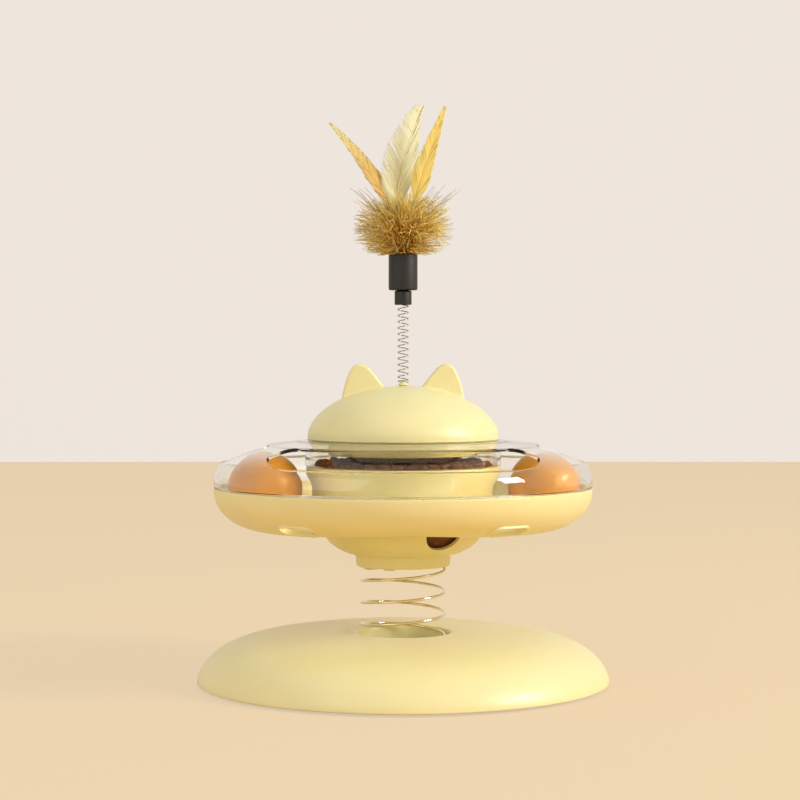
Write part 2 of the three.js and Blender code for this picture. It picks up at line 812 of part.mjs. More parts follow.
function makeBowl() {
  const outer = bowlCurve(0);
  const inner = bowlCurve(bowlWall).reverse();
  let bowl = solid(turned([
    [0, bowlBottom],
    [collarInner, bowlBottom],
    [collarInner, collarBottom],
    [collarRadius, collarBottom],
    ...outer.filter(([radius]) => radius > collarRadius).reverse(),
    [bowlWallRadius, bowlShoulder],
    [bowlWallRadius, bandBottom - bandStep],
    [rimRadius, bandBottom],
    [rimRadius, rimTop - bowlWall / 4],
    [rimRadius - bowlWall / 4, rimTop],
    [rimRadius - bowlWall, rimTop],
    [rimRadius - bowlWall, bandBottom + bandStep],
    [bowlWallRadius - bowlWall, bandBottom],
    [bowlWallRadius - bowlWall, bowlShoulder + bowlWall],
    ...inner.reverse(),
    [0, bowlBottom + bowlWall],
  ], bowlRound));

  for (let i = 0; i < seatScrewCount; i++) {
    const angle = (360 / seatScrewCount) * i;
    const screwRise = seatScrewLength + bowlWall;
    const boss = cylinder(seatBossRadius, bowlBottom + bowlWall / 2, bowlBottom + screwRise, smallRound);
    const pilot = cylinder(screwPilotRadius, bowlBottom - 1, bowlBottom + seatScrewLength, smallRound);
    bowl = bowl.add(solid(aroundAxis(boss, seatScrewCircle, angle)));
    bowl = bowl.subtract(solid(aroundAxis(pilot, seatScrewCircle, angle)));
  }
  bowl = bowl.subtract(treatHoleCutter(treatHoleRadius, bowlNeckRadius - bowlRoundStart));
  addPiece("treat_bowl", bowl, yellow);
}

function makeTreats() {
  const clearance = bowlWall + seatGap + runningGap / 2;
  const inner = bowlCurve(clearance);
  const wallRadius = bowlWallRadius - clearance;
  const bandRadius = rimRadius - clearance;
  const bedBottom = bowlBottom + seatScrewLength + bowlWall + seatGap;
  const sides = inner.filter(([, height]) => height > bedBottom);
  const foot = inner.find(([, height]) => height <= bedBottom) ?? inner[inner.length - 1];
  let bed = solid(turned([
    [0, bedBottom],
    [foot[0], bedBottom],
    ...sides.reverse(),
    [wallRadius, bowlShoulder + clearance],
    [wallRadius, bandBottom],
    [bandRadius, bandBottom + bandStep + seatGap],
    [bandRadius, treatTop - treatCrown],
    [bandRadius / 2, treatTop - treatCrown / 2],
    [0, treatTop],
  ], treatRound));
  bed = bed.subtract(treatHoleCutter(treatHoleRadius + treatPocket, bowlRoundWidth / 2));
  addPiece("treats", bed, kibble);
}

function coverCurve() {
  const shoulder = new THREE.CubicBezierCurve(
    new THREE.Vector2(seamRadius, coverBottom + coverShoulderStart),
    new THREE.Vector2(seamRadius, coverBottom + coverShoulderHeight),
    new THREE.Vector2(coverTurnRadius, coverTurnHeight),
    new THREE.Vector2(coverSlopeRadius, coverSlopeHeight),
  );
  return shoulder.getPoints(coverSteps).map((point) => [point.x, point.y]);
}

// The plan of a paw window: part of a ring with rounded corners.
function windowShape(angle) {
  const shape = new THREE.Shape();
  const outerTurn = THREE.MathUtils.radToDeg(windowCorner / windowOuter);
  const innerTurn = THREE.MathUtils.radToDeg(windowCorner / windowInner);
  const at = (radius, degrees) => new THREE.Vector2(
    radius * Math.cos(radians(degrees)),
    radius * Math.sin(radians(degrees)),
  );
  const [from, to] = [angle - windowHalfAngle, angle + windowHalfAngle];
  shape.absarc(0, 0, windowOuter, radians(from + outerTurn), radians(to - outerTurn), false);
  const outerCorner = at(windowOuter, to);
  const outerEnd = at(windowOuter - windowCorner, to);
  shape.quadraticCurveTo(outerCorner.x, outerCorner.y, outerEnd.x, outerEnd.y);
  const innerStart = at(windowInner + windowCorner, to);
  shape.lineTo(innerStart.x, innerStart.y);
  const innerCorner = at(windowInner, to);
  const innerEnd = at(windowInner, to - innerTurn);
  shape.quadraticCurveTo(innerCorner.x, innerCorner.y, innerEnd.x, innerEnd.y);
  shape.absarc(0, 0, windowInner, radians(to - innerTurn), radians(from + innerTurn), true);
  const lowStart = at(windowInner + windowCorner, from);
  const lowCorner = at(windowInner, from);
  shape.quadraticCurveTo(lowCorner.x, lowCorner.y, lowStart.x, lowStart.y);
  const lowEnd = at(windowOuter - windowCorner, from);
  shape.lineTo(lowEnd.x, lowEnd.y);
  const lastCorner = at(windowOuter, from);
  const lastEnd = at(windowOuter, from + outerTurn);
  shape.quadraticCurveTo(lastCorner.x, lastCorner.y, lastEnd.x, lastEnd.y);
  return shape;
}

function makeCover() {
  const outer = coverCurve();
  const inner = offsetOutline(outer, -coverWall);
  const rebate = seamRadius - trayWall + tongueWidth + seatGap;
  const rebateTop = seamHeight + tongueHeight + seatGap;
  const neckOuter = neckInner + coverWall;
  const neckTurn = flangeHeight - coverWall;
  let cover = solid(turnedRing([
    [rebate, coverBottom],
    [seamRadius, coverBottom],
    ...outer,
    [flangeRadius, flangeHeight],
    [neckInner, flangeHeight],
    [neckInner, neckBottom],
    [neckOuter, neckBottom],
    [neckOuter, neckTurn],
    ...inner.reverse().filter(([, height]) => height > rebateTop),
    [seamRadius - coverWall, rebateTop],
    [rebate, rebateTop],
  ], largeRound));
  for (const angle of windowAngles) {
    const cutter = extruded(windowShape(angle), coverBottom, flangeHeight + coverWall, 4);
    cover = cover.subtract(solid(cutter));
  }
  addPiece("clear_cover", cover, clear);
}

function makeBalls() {
  const places = [["ball_right", rightBallAngle], ["ball_left", leftBallAngle]];
  for (const [name, angle] of places) {
    const ball = new THREE.IcosahedronGeometry(ballRadius, ballDetail).translate(0, 0, ballHeight);
    addPiece(name, solid(aroundAxis(ball, ballOrbit, angle)), orange);
  }
}

// Lid

function lidCurve(inset) {
  const points = [];
  for (let i = 0; i <= lidSteps; i++) {
    const turn = (Math.PI / 2) * (i / lidSteps);
    const radius = (lidRadius - inset) * Math.cos(turn);
    points.push([radius, lidShoulder + (lidTop - inset - lidShoulder) * Math.sin(turn)]);
  }
  return points;
}

function earGeometry(side) {
  const shape = new THREE.Shape();
  const tipZ = earTipZ - earBevel;
  const middle = THREE.MathUtils.lerp(earRoot, tipZ, 0.5);
  const innerEnd = earTipX - earTipHalfWidth / 2;
  const outerEnd = earTipX + earTipHalfWidth;
  const outerZ = tipZ - earTipRound;
  shape.moveTo(earInset, earRoot);
  shape.lineTo(earInset + earBevel, THREE.MathUtils.lerp(earRoot, middle, 0.45));
  shape.bezierCurveTo(earTipX - earInnerBulge, middle, innerEnd - earTipHalfWidth / 2, tipZ, innerEnd, tipZ);
  shape.quadraticCurveTo(earTipX + earTipHalfWidth / 2, tipZ, outerEnd, outerZ);
  shape.bezierCurveTo(earTipX + earOuterBulge, outerZ - earOuterBulge, earOutset, middle, earOutset, earRoot);
  shape.closePath();
  const ear = new THREE.ExtrudeGeometry(shape, {
    depth: earDepth - 2 * earBevel,
    bevelThickness: earBevel,
    bevelSize: earBevel,
    bevelSegments: 2,
    curveSegments: 5,
  });
  ear.rotateX(Math.PI / 2).translate(0, earDepth / 2 - earBevel, 0);
  return side > 0 ? ear : ear.rotateZ(Math.PI);
}

function makeLid() {
  let dome = solid(turned([[0, lidBottom], [lidRadius, lidBottom], ...lidCurve(0)], bowlRound));
  const cavity = solid(turned([
    [0, lidBottom - 1],
    [lidRadius - lidWall, lidBottom - 1],
    ...lidCurve(lidWall),
  ], bowlRound));
  dome = dome.add(solid(earGeometry(1))).add(solid(earGeometry(-1))).subtract(cavity);
  const plugHole = cylinder(plugStemRadius + runningGap, lidBottom, lidTop + 1, mediumRound);
  dome = dome.subtract(solid(plugHole));
  addPiece("lid_dome", dome, yellow);

  let ring = solid(turnedRing([
    [ringRadius - ringWall, ringBottom],
    [ringRadius, ringBottom],
    [ringRadius, ringFlangeBottom],
    [ringFlangeRadius, ringFlangeBottom],
    [ringFlangeRadius, ringTop],
    [ringFlangeRadius - ringWall, ringTop],
    [ringFlangeRadius - ringWall, ringFlangeBottom + ringWall],
    [ringRadius - ringWall, ringFlangeBottom + ringWall],
  ], bowlRound));
  for (const angle of lugAngles) {
    const half = lugWidthAngle / 2;
    const lug = ringSector(ringRadius - ringWall / 2, ringFlangeRadius - lugInset, angle - half, angle + half);
    ring = ring.add(solid(extruded(lug, lugBottom, lugBottom + lugHeight, 2)));
  }
  addPiece("lid_plug_ring", ring, yellow);
}

function makePlug() {
  const pegRadius = coilInside(thinCoilRadius, thinWireRadius) - seatGap;
  const washerTop = heightOn(lidCurve(lidWall), plugWasherRadius) - seatGap;
  const washerBottom = washerTop - plugWasherThickness;
  const barbTop = washerBottom - seatGap;
  const plug = turned([
    [0, barbTop - plugBarbHeight],
    [plugStemRadius, barbTop - plugBarbHeight],
    [plugStemRadius + plugBarbFlare, barbTop],
    [plugStemRadius, barbTop],
    [plugStemRadius, plugHeadBottom],
    [plugHeadRadius, plugHeadBottom],
    [plugHeadRadius, plugHeadTop],
    [pegRadius, plugHeadTop],
    [pegRadius, plugHeadTop + plugPegLength],
    [0, plugHeadTop + plugPegLength],
  ], mediumRound);
  addPiece("teaser_plug", solid(plug), yellow);
  const washer = turnedRing([
    [plugStemRadius + runningGap, washerBottom],
    [plugWasherRadius, washerBottom],
    [plugWasherRadius, washerTop],
    [plugStemRadius + runningGap, washerTop],
  ], mediumRound);
  addPiece("teaser_plug_washer", solid(washer), steel);
}

// Teaser

function makeHolder() {
  const bore = thinCoilRadius + thinWireRadius + runningGap;
  const boreTop = thinTop + thinWireRadius + seatGap;
  const ferrule = turned([
    [0, boreTop],
    [bore, boreTop],
    [bore, ferruleBottom],
    [ferruleRadius, ferruleBottom],
    [ferruleRadius, ferruleTop],
    [ferruleNeckRadius, ferruleTop],
    [ferruleNeckRadius, ferruleTop + ferruleNeckHeight],
    [0, ferruleTop + ferruleNeckHeight],
  ], mediumRound);
  addPiece("tuft_ferrule", solid(ferrule), black);
  const neckHole = ferruleNeckRadius + seatGap;
  const cup = turnedRing([
    [neckHole, cupBottom],
    [cupRadius, cupBottom],
    [cupRadius, cupTop],
    [cupRadius - cupWall, cupTop],
    [cupRadius - cupWall, cupBottom + cupFloor],
    [neckHole, cupBottom + cupFloor],
  ], mediumRound);
  addPiece("tuft_cup", solid(cup), black);
}

function featherDirection(feather) {
  const along = new THREE.Vector3(0, 0, 1);
  along.applyAxisAngle(new THREE.Vector3(1, 0, 0), radians(feather.pitch));
  return along.applyAxisAngle(new THREE.Vector3(0, 1, 0), radians(feather.lean));
}

// The tip of a strand: on an oval round the hub, shorter beside a feather or over the cup.
function strandLength(direction, order) {
  const vertical = direction.z > 0 ? tuftRise : tuftDrop;
  const flat = Math.hypot(direction.x, direction.y);
  const oval = 1 / Math.hypot(flat / tuftSpread, direction.z / vertical);
  const uneven = THREE.MathUtils.lerp(tuftShortest, 1, 0.5 + 0.5 * Math.sin(order * 2.4));
  const nearFeather = feathers.some((feather) => (
    THREE.MathUtils.radToDeg(direction.angleTo(featherDirection(feather))) < tuftClearAngle
  ));
  const stub = tuftHubRadius + stubLength;
  if (nearFeather) {
    return stub;
  }
  const tip = direction.clone().multiplyScalar(oval * uneven);
  const overCup = Math.hypot(tip.x, tip.y) < cupRadius + tuftCupMargin && tip.z < 0;
  return overCup ? stub : Math.max(oval * uneven, stub);
}

// A ball of strands: each face of a round hub is drawn out to a three-sided point.
function strandBall() {
  const hub = mergeVertices(
    new THREE.IcosahedronGeometry(tuftHubRadius, tuftDetail)
      .deleteAttribute("normal")
      .deleteAttribute("uv"),
    weldDistance,
  );
  const corners = Array.from(hub.getAttribute("position").array);
  const faces = hub.index.array;
  const index = [];
  for (let i = 0; i < faces.length; i += 3) {
    const [a, b, c] = [faces[i], faces[i + 1], faces[i + 2]];
    const direction = new THREE.Vector3();
    for (const corner of [a, b, c]) {
      direction.add(new THREE.Vector3().fromArray(corners, 3 * corner));
    }
    direction.normalize();
    const tip = direction.clone().multiplyScalar(strandLength(direction, i / 3));
    const tipIndex = corners.length / 3;
    corners.push(tip.x, tip.y, tip.z);
    index.push(a, b, tipIndex, b, c, tipIndex, c, a, tipIndex);
  }
  const ball = new THREE.BufferGeometry();
  ball.setAttribute("position", new THREE.Float32BufferAttribute(corners, 3));
  ball.setIndex(index);
  return ball.translate(0, 0, tuftHubHeight);
}

function makeTuft() {
  const rootBottom = cupBottom + cupFloor + seatGap;
  const root = cylinder(tuftRootRadius, rootBottom, tuftHubHeight, mediumRound);
  addPiece("tuft", solid(strandBall()).add(solid(root)), mustard);
}

function featherGeometry(feather) {
  const start = tuftHubRadius + stubLength + seatGap;
  const { length, halfWidth } = feather;
  const lower = THREE.MathUtils.lerp(vaneStart, length, 0.2);
  const upper = THREE.MathUtils.lerp(vaneStart, length, 0.7);
  const bulge = halfWidth * 1.35;
  const shape = new THREE.Shape();
  shape.moveTo(-quillRadius, start);
  shape.lineTo(-quillRadius, vaneStart);
  shape.bezierCurveTo(-bulge, lower, -bulge, upper, 0, length);
  shape.bezierCurveTo(bulge, upper, bulge, lower, quillRadius, vaneStart);
  shape.lineTo(quillRadius, start);
  shape.closePath();
  const options = { depth: featherThickness, bevelEnabled: false, curveSegments: 8 };
  const geometry = new THREE.ExtrudeGeometry(shape, options).translate(0, 0, -featherThickness / 2);
  geometry.rotateX(Math.PI / 2);
  geometry.rotateX(radians(feather.pitch)).rotateY(radians(feather.lean));
  return geometry.translate(0, 0, tuftHubHeight);
}

function makeFeathers() {
  for (const feather of feathers) {
    const colour = feather.name === "feather_middle" ? paleFeather : mustard;
    addPiece(feather.name, solid(featherGeometry(feather)), colour);
  }
}

makeBase();
makePlate();
makeSprings();
makeTray();
makeBowl();
makeTreats();
makeCover();
makeBalls();
makeLid();
makePlug();
makeHolder();
makeTuft();
makeFeathers();

export default toy;
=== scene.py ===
"""Looks of the cat teaser toy: a saucer with treats and balls on a wire spring, and a feather teaser.

Every size is in millimetres until it becomes a mesh, and the frame gives the places of the pieces.
The front is at -Y and +Z is up.
"""

import json
import logging
import math
import random
from dataclasses import dataclass, field
from enum import Enum
from typing import Sequence

import bmesh
import bpy
from mathutils import Euler, Matrix, Vector


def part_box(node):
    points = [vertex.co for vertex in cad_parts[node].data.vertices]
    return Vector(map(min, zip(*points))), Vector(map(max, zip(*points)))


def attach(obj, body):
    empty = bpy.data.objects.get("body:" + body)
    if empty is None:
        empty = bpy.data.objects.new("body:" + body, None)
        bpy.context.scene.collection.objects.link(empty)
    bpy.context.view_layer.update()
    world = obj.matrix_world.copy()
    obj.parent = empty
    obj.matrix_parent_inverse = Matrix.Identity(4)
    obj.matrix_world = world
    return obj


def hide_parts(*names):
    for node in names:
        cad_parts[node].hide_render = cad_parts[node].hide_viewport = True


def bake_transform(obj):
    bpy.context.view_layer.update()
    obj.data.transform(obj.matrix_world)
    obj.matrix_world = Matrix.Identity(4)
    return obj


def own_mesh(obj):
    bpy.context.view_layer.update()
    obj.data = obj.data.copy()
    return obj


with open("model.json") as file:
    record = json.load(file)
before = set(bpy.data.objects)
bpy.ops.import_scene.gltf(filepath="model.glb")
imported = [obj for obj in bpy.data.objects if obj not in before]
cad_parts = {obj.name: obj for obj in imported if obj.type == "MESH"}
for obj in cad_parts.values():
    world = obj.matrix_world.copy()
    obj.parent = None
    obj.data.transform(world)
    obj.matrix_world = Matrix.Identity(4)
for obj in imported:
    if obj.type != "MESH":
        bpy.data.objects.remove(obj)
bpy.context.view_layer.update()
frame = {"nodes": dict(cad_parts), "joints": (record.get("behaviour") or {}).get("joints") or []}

LOG = logging.getLogger("cat_teaser")
MM = 0.001
Point = tuple[float, float]
Tree = bpy.types.NodeTree
Socket = bpy.types.NodeSocket
Piece = bpy.types.Object


class Body(str, Enum):
    """The moving bodies of the frame."""

    BASE = "base"
    SPRING_FOOT = "spring_foot"
    SPRING = "spring"
    SAUCER = "saucer"
    LID = "lid"
    TEASER_STEM = "teaser_stem"
    TEASER_HEAD = "teaser_head"
    RIGHT_BALL = "right_ball"
    LEFT_BALL = "left_ball"


def linear(hex_colour: str) -> tuple[float, float, float, float]:
    """Turns an sRGB colour into Blender's linear colour.

    Args:
        hex_colour: The colour as six hex digits.

    Returns:
        Linear red, green and blue, and an alpha of 1.
    """
    channels = [int(hex_colour[i : i + 2], 16) / 255 for i in (0, 2, 4)]
    toned = [c / 12.92 if c <= 0.04045 else ((c + 0.055) / 1.055) ** 2.4 for c in channels]
    return (*toned, 1.0)


def add_node(tree: Tree, kind: str, inputs: dict | None = None, **attributes: object) -> bpy.types.Node:
    """Adds one shader node.

    Args:
        tree: The tree that takes it.
        kind: Its type, without the first word ShaderNode.
        inputs: For each input either the value set on it or the output socket that feeds it.
        attributes: Properties of the node itself.

    Returns:
        The node.
    """
    node = tree.nodes.new("ShaderNode" + kind)
    for name, value in attributes.items():
        setattr(node, name, value)
    for name, value in (inputs or {}).items():
        if isinstance(value, Socket):
            tree.links.new(value, node.inputs[name])
        else:
            node.inputs[name].default_value = value
    return node


def ramp_colours(node: bpy.types.Node, stops: Sequence[tuple[float, str]]) -> Socket:
    """Sets the colours of a colour ramp.

    Args:
        node: The colour ramp's node.
        stops: Places from 0 to 1 with their hex colours, at least two.

    Returns:
        Its colour output.
    """
    ramp = node.color_ramp
    while len(ramp.elements) < len(stops):
        ramp.elements.new(0.5)
    for element, (place, colour) in zip(ramp.elements, stops):
        element.position = place
        element.color = linear(colour)
    return node.outputs["Color"]


# Finishes


@dataclass(frozen=True)
class Finish:
    """A finish, which builds one material from nodes."""

    name: str

    def material(self) -> bpy.types.Material:
        """Builds the material round the finish's own surface.

        Returns:
            The material.
        """
        material = bpy.data.materials.new(self.name)
        material.use_nodes = True
        tree = material.node_tree
        tree.nodes.clear()
        add_node(tree, "OutputMaterial", {"Surface": self.surface(tree)})
        return material

    def surface(self, tree: Tree) -> Socket:
        """Adds the finish's own nodes and gives the shader's socket."""
        raise NotImplementedError


@dataclass(frozen=True)
class MouldedPlastic(Finish):
    """Injection-moulded ABS: smooth and satin, a little light sinks in, and the grain is very fine."""

    colour: str
    tint: str
    roughness: float = 0.42
    ior: float = 1.53
    sinking: float = 0.0
    sinking_depth_mm: float = 1.5
    # A real mould's grain is finer; it is drawn this coarse so that it shows.
    grain_mm: float = 0.35
    mottle_mm: float = 38.0
    relief: float = 0.04

    def surface(self, tree: Tree) -> Socket:
        """Adds faint mottling of the colour, and a spark-eroded grain in the bump.

        Args:
            tree: The material's node tree.

        Returns:
            The shader's output socket.
        """
        place = add_node(tree, "TexCoord").outputs["Object"]
        mottle = add_node(tree, "TexNoise", {
            "Scale": 1 / (self.mottle_mm * MM), "Detail": 3.0, "Roughness": 0.5, "Vector": place,
        }).outputs["Fac"]
        grain = add_node(tree, "TexNoise", {
            "Scale": 1 / (self.grain_mm * MM), "Detail": 2.0, "Vector": place,
        })
        blend = add_node(tree, "ValToRGB", {"Fac": mottle})
        rough = add_node(tree, "MapRange", {
            "To Min": self.roughness - 0.04, "To Max": self.roughness + 0.06, "Value": mottle,
        })
        bump = add_node(tree, "Bump", {
            "Strength": self.relief, "Distance": 0.1 * MM, "Height": grain.outputs["Fac"],
        })
        return add_node(tree, "BsdfPrincipled", {
            "IOR": self.ior,
            "Subsurface Weight": self.sinking,
            "Subsurface Scale": self.sinking_depth_mm * MM,
            "Subsurface Radius": (1.0, 0.75, 0.4),
            "Base Color": ramp_colours(blend, [(0.3, self.colour), (0.75, self.tint)]),
            "Roughness": rough.outputs["Result"],
            "Normal": bump.outputs["Normal"],
        }).outputs["BSDF"]


@dataclass(frozen=True)
class ClearPlastic(Finish):
    """Moulded clear polystyrene: bright edges, sharp gloss, faint moulding waves."""

    colour: str = "FDFCF8"
    roughness: float = 0.015
    ior: float = 1.49
    wave_mm: float = 26.0
    shade: str = "E4D4AA"

    def surface(self, tree: Tree) -> Socket:
        """Adds the glass. Shadow rays pass through it, so that what it covers stays lit, tinted by the shade
        colour: painted shade that dims and warms what lies under the cover.

        Args:
            tree: The material's node tree.

        Returns:
            The shader's output socket.
        """
        place = add_node(tree, "TexCoord").outputs["Object"]
        waves = add_node(tree, "TexNoise", {
            "Scale": 1 / (self.wave_mm * MM), "Detail": 1.0, "Vector": place,
        })
        bump = add_node(tree, "Bump", {
            "Strength": 0.015, "Distance": 1.0 * MM, "Height": waves.outputs["Fac"],
        })
        glass = add_node(tree, "BsdfPrincipled", {
            "Base Color": linear(self.colour), "Roughness": self.roughness, "IOR": self.ior,
            "Transmission Weight": 1.0, "Normal": bump.outputs["Normal"],
        })
        # The shade colour is painted shade, cast through the cover on what lies under it.
        through = add_node(tree, "BsdfTransparent", {"Color": linear(self.shade)})
        return add_node(tree, "MixShader", {
            0: add_node(tree, "LightPath").outputs["Is Shadow Ray"],
            1: glass.outputs["BSDF"], 2: through.outputs["BSDF"],
        }).outputs["Shader"]


@dataclass(frozen=True)
class DrawnWire(Finish):
    """Drawn and plated steel: bright metal with fine draw lines round the surface."""

    colour: str
    roughness: float
    # Real draw lines are finer; they are drawn this coarse so that they show.
    line_mm: float = 0.4

    def surface(self, tree: Tree) -> Socket:
        """Adds a metal with a slightly uneven roughness and fine lines.

        Args:
            tree: The material's node tree.

        Returns:
            The shader's output socket.
        """
        place = add_node(tree, "TexCoord").outputs["Object"]
        lines = add_node(tree, "TexNoise", {
            "Scale": 1 / (self.line_mm * MM), "Detail": 3.0, "Vector": place,
        }).outputs["Fac"]
        rough = add_node(tree, "MapRange", {
            "To Min": self.roughness * 0.7, "To Max": self.roughness * 1.5, "Value": lines,
        })
        bump = add_node(tree, "Bump", {"Strength": 0.08, "Distance": 0.05 * MM, "Height": lines})
        return add_node(tree, "BsdfPrincipled", {
            "Base Color": linear(self.colour), "Metallic": 1.0,
            "Roughness": rough.outputs["Result"], "Normal": bump.outputs["Normal"],
        }).outputs["BSDF"]


@dataclass(frozen=True)
class RoughMass(Finish):
    """A dull mass with a coarse surface, such as baked kibble, cast iron or moulded rubber."""

    dark: str
    light: str
    roughness: float
    grain_mm: float
    relief_mm: float
    metallic: float = 0.0

    def surface(self, tree: Tree) -> Socket:
        """Adds blotched colour and pits at the grain's size.

        Args:
            tree: The material's node tree.

        Returns:
            The shader's output socket.
        """
        place = add_node(tree, "TexCoord").outputs["Object"]
        blotch = add_node(tree, "TexNoise", {
            "Scale": 0.4 / (self.grain_mm * MM), "Detail": 6.0, "Roughness": 0.7, "Vector": place,
        })
        pits = add_node(tree, "TexNoise", {
            "Scale": 1 / (self.grain_mm * MM), "Detail": 8.0, "Roughness": 0.65, "Vector": place,
        })
        blend = add_node(tree, "ValToRGB", {"Fac": blotch.outputs["Fac"]})
        bump = add_node(tree, "Bump", {
            "Strength": 0.6, "Distance": self.relief_mm * MM, "Height": pits.outputs["Fac"],
        })
        return add_node(tree, "BsdfPrincipled", {
            "Roughness": self.roughness, "Metallic": self.metallic,
            "Base Color": ramp_colours(blend, [(0.35, self.dark), (0.68, self.light)]),
            "Normal": bump.outputs["Normal"],
        }).outputs["BSDF"]


@dataclass(frozen=True)
class Plume(Finish):
    """Dyed feather or cut film: each strand has its own tone, and it pales towards its end, which is dye on
    the feathers and painted shade and light on the tinsel.
    """

    root: str
    middle: str
    tip: str
    roughness: float = 0.55
    sheen: float = 0.25
    through: float = 0.15
    contrast: float = 0.08

    def surface(self, tree: Tree) -> Socket:
        """Adds a soft shader that reads the mesh's own values: along (0 to 1) and shade (0 to 1).

        Args:
            tree: The material's node tree.

        Returns:
            The shader's output socket.
        """
        along = add_node(tree, "Attribute", attribute_name="along").outputs["Fac"]
        shade = add_node(tree, "Attribute", attribute_name="shade").outputs["Fac"]
        blend = add_node(tree, "ValToRGB", {"Fac": along})
        level = add_node(tree, "MapRange", {
            "To Min": 1 - self.contrast, "To Max": 1 + self.contrast / 2, "Value": shade,
        })
        toned = add_node(tree, "HueSaturation", {
            "Color": ramp_colours(blend, [(0.0, self.root), (0.5, self.middle), (1.0, self.tip)]),
            "Value": level.outputs["Result"],
        }).outputs["Color"]
        soft = add_node(tree, "BsdfPrincipled", {
            "Roughness": self.roughness, "Sheen Weight": self.sheen, "Sheen Roughness": 0.4,
            "Base Color": toned,
        })
        glow = add_node(tree, "BsdfTranslucent", {"Color": toned})
        return add_node(tree, "MixShader", {
            0: self.through, 1: soft.outputs["BSDF"], 2: glow.outputs["BSDF"],
        }).outputs["Shader"]


@dataclass
class Palette:
    """All the finishes of the toy. Each one's material is made once and shared."""

    # Pale butter-yellow shells: satin, warm where light sinks in and bounces inside.
    shell: Finish = MouldedPlastic("moulded_abs_butter_yellow", "EFE6AC", "ECE1A6", 0.36, sinking=0.2)
    # Glossier orange balls, a strong accent behind the clear cover.
    balls: Finish = MouldedPlastic(
        "moulded_abs_orange", "E09A18", "D99112", 0.34, sinking=0.1, relief=0.03,
    )
    # A dull black sleeve and cup, the darkest spot.
    holder: Finish = MouldedPlastic("moulded_abs_black", "1B1814", "16130F", 0.5, relief=0.1)
    # Clear walls that show by their bright and dark edges.
    cover: Finish = ClearPlastic("moulded_clear_polystyrene")
    # The big wire glints a warm white, and the thin one is a dull grey line.
    wire: Finish = DrawnWire("drawn_plated_steel", "EBDDB4", 0.13)
    thin_wire: Finish = DrawnWire("thin_drawn_steel", "A9A59C", 0.25)
    # Screw heads, a duller and cooler grey than the wires.
    screw: Finish = DrawnWire("zinc_plated_screw_steel", "C4C2BC", 0.35)
    # Parts under and inside: rough iron, pale feet, and a dark cap on the wire's end.
    ballast: Finish = RoughMass("cast_iron", "3A3836", "57534F", 0.65, 0.8, 0.3, 0.9)
    foot: Finish = RoughMass("moulded_silicone_rubber", "D6CC9E", "DDD4A8", 0.8, 0.5, 0.05)
    cap: Finish = RoughMass("dipped_rubber", "2B2826", "36322F", 0.7, 0.5, 0.05)
    # Baked brown biscuits with a crumbly skin.
    kibble: Finish = RoughMass("baked_kibble", "4E2A12", "86532A", 0.7, 1.1, 0.4)
    # Glittering mustard film. Its ramp from root to tip is painted shade, dark in the tuft's depth, and
    # painted light, pale at its ends.
    tinsel: Finish = Plume(
        "cut_film_tinsel_mustard", "EEA636", "FFD868", "FFF6BC", 0.35, 0.1, 0.7, 0.28,
    )
    # Three dyed feathers from old gold to cream, soft and lit from behind.
    gold_feather: Finish = Plume("dyed_feather_gold", "DCA848", "EAC466", "F2EAA4")
    yellow_feather: Finish = Plume("dyed_feather_yellow", "F4D670", "FCE888", "F8DC78")
    pale_feather: Finish = Plume("dyed_feather_pale_yellow", "FFF6B8", "FFFDD2", "FFFCCC")
    made: dict[str, bpy.types.Material] = field(default_factory=dict)

    def dress(self, finish: Finish, *pieces: Piece) -> None:
        """Gives pieces a finish, whose material is built the first time.

        Args:
            finish: One of the palette's finishes.
            pieces: The pieces.
        """
        if finish.name not in self.made:
            self.made[finish.name] = finish.material()
        for piece in pieces:
            piece.data.materials.clear()
            piece.data.materials.append(self.made[finish.name])

    def set_in(self, piece: Piece, finish: Finish, body: Body, slot: str, *nodes: str) -> None:
        """Gives a finished piece its material, and lets it ride on a body in place of its solids.

        Args:
            piece: The piece.
            finish: One of the palette's finishes.
            body: The body that carries it.
            slot: The record's material slot.
            nodes: The solids that it replaces.
        """
        self.dress(finish, piece)
        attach(piece, body.value)
        stand_for(piece, slot, *nodes)

    def dress_solids(self, finishes: dict[str, Finish]) -> None:
        """Gives the frame's own solids their finishes.

        Args:
            finishes: The start of a solid's name, and its finish.
        """
        for start, finish in finishes.items():
            for name, solid in frame["nodes"].items():
                if name.startswith(start):
                    self.dress(finish, solid)
                    LOG.info("%s: finished as %s", name, finish.name)


@dataclass(frozen=True)
class StagePaint(Finish):
    """Plain paint of the room: it takes shadows, and shows the camera a partly even tone."""

    colour: str
    shown: str
    share: float

    def surface(self, tree: Tree) -> Socket:
        """Adds the paint, and an even tone for what camera, gloss and glass see.

        Args:
            tree: The material's node tree.

        Returns:
            The shader's output socket.
        """
        paint = add_node(tree, "BsdfDiffuse", {"Color": linear(self.colour)})
        even = add_node(tree, "Emission", {"Color": linear(self.shown), "Strength": 1.0})
        rays = add_node(tree, "LightPath").outputs
        seen = add_node(tree, "Math", {0: rays["Is Camera Ray"], 1: rays["Is Glossy Ray"]}, operation="ADD")
        seen = add_node(tree, "Math", {
            0: seen.outputs["Value"], 1: rays["Is Transmission Ray"],
        }, operation="ADD", use_clamp=True)
        part = add_node(tree, "Math", {0: seen.outputs["Value"], 1: self.share}, operation="MULTIPLY")
        return add_node(tree, "MixShader", {
            0: part.outputs["Value"], 1: paint.outputs["BSDF"], 2: even.outputs["Emission"],
        }).outputs["Shader"]


# Mesh making


def link_object(name: str, data: bpy.types.ID) -> Piece:
    """Makes an object and links it to the scene.

    Args:
        name: The object's name.
        data: The mesh, the lamp or the camera.

    Returns:
        The object.
    """
    made = bpy.data.objects.new(name, data)
    bpy.context.scene.collection.objects.link(made)
    return made


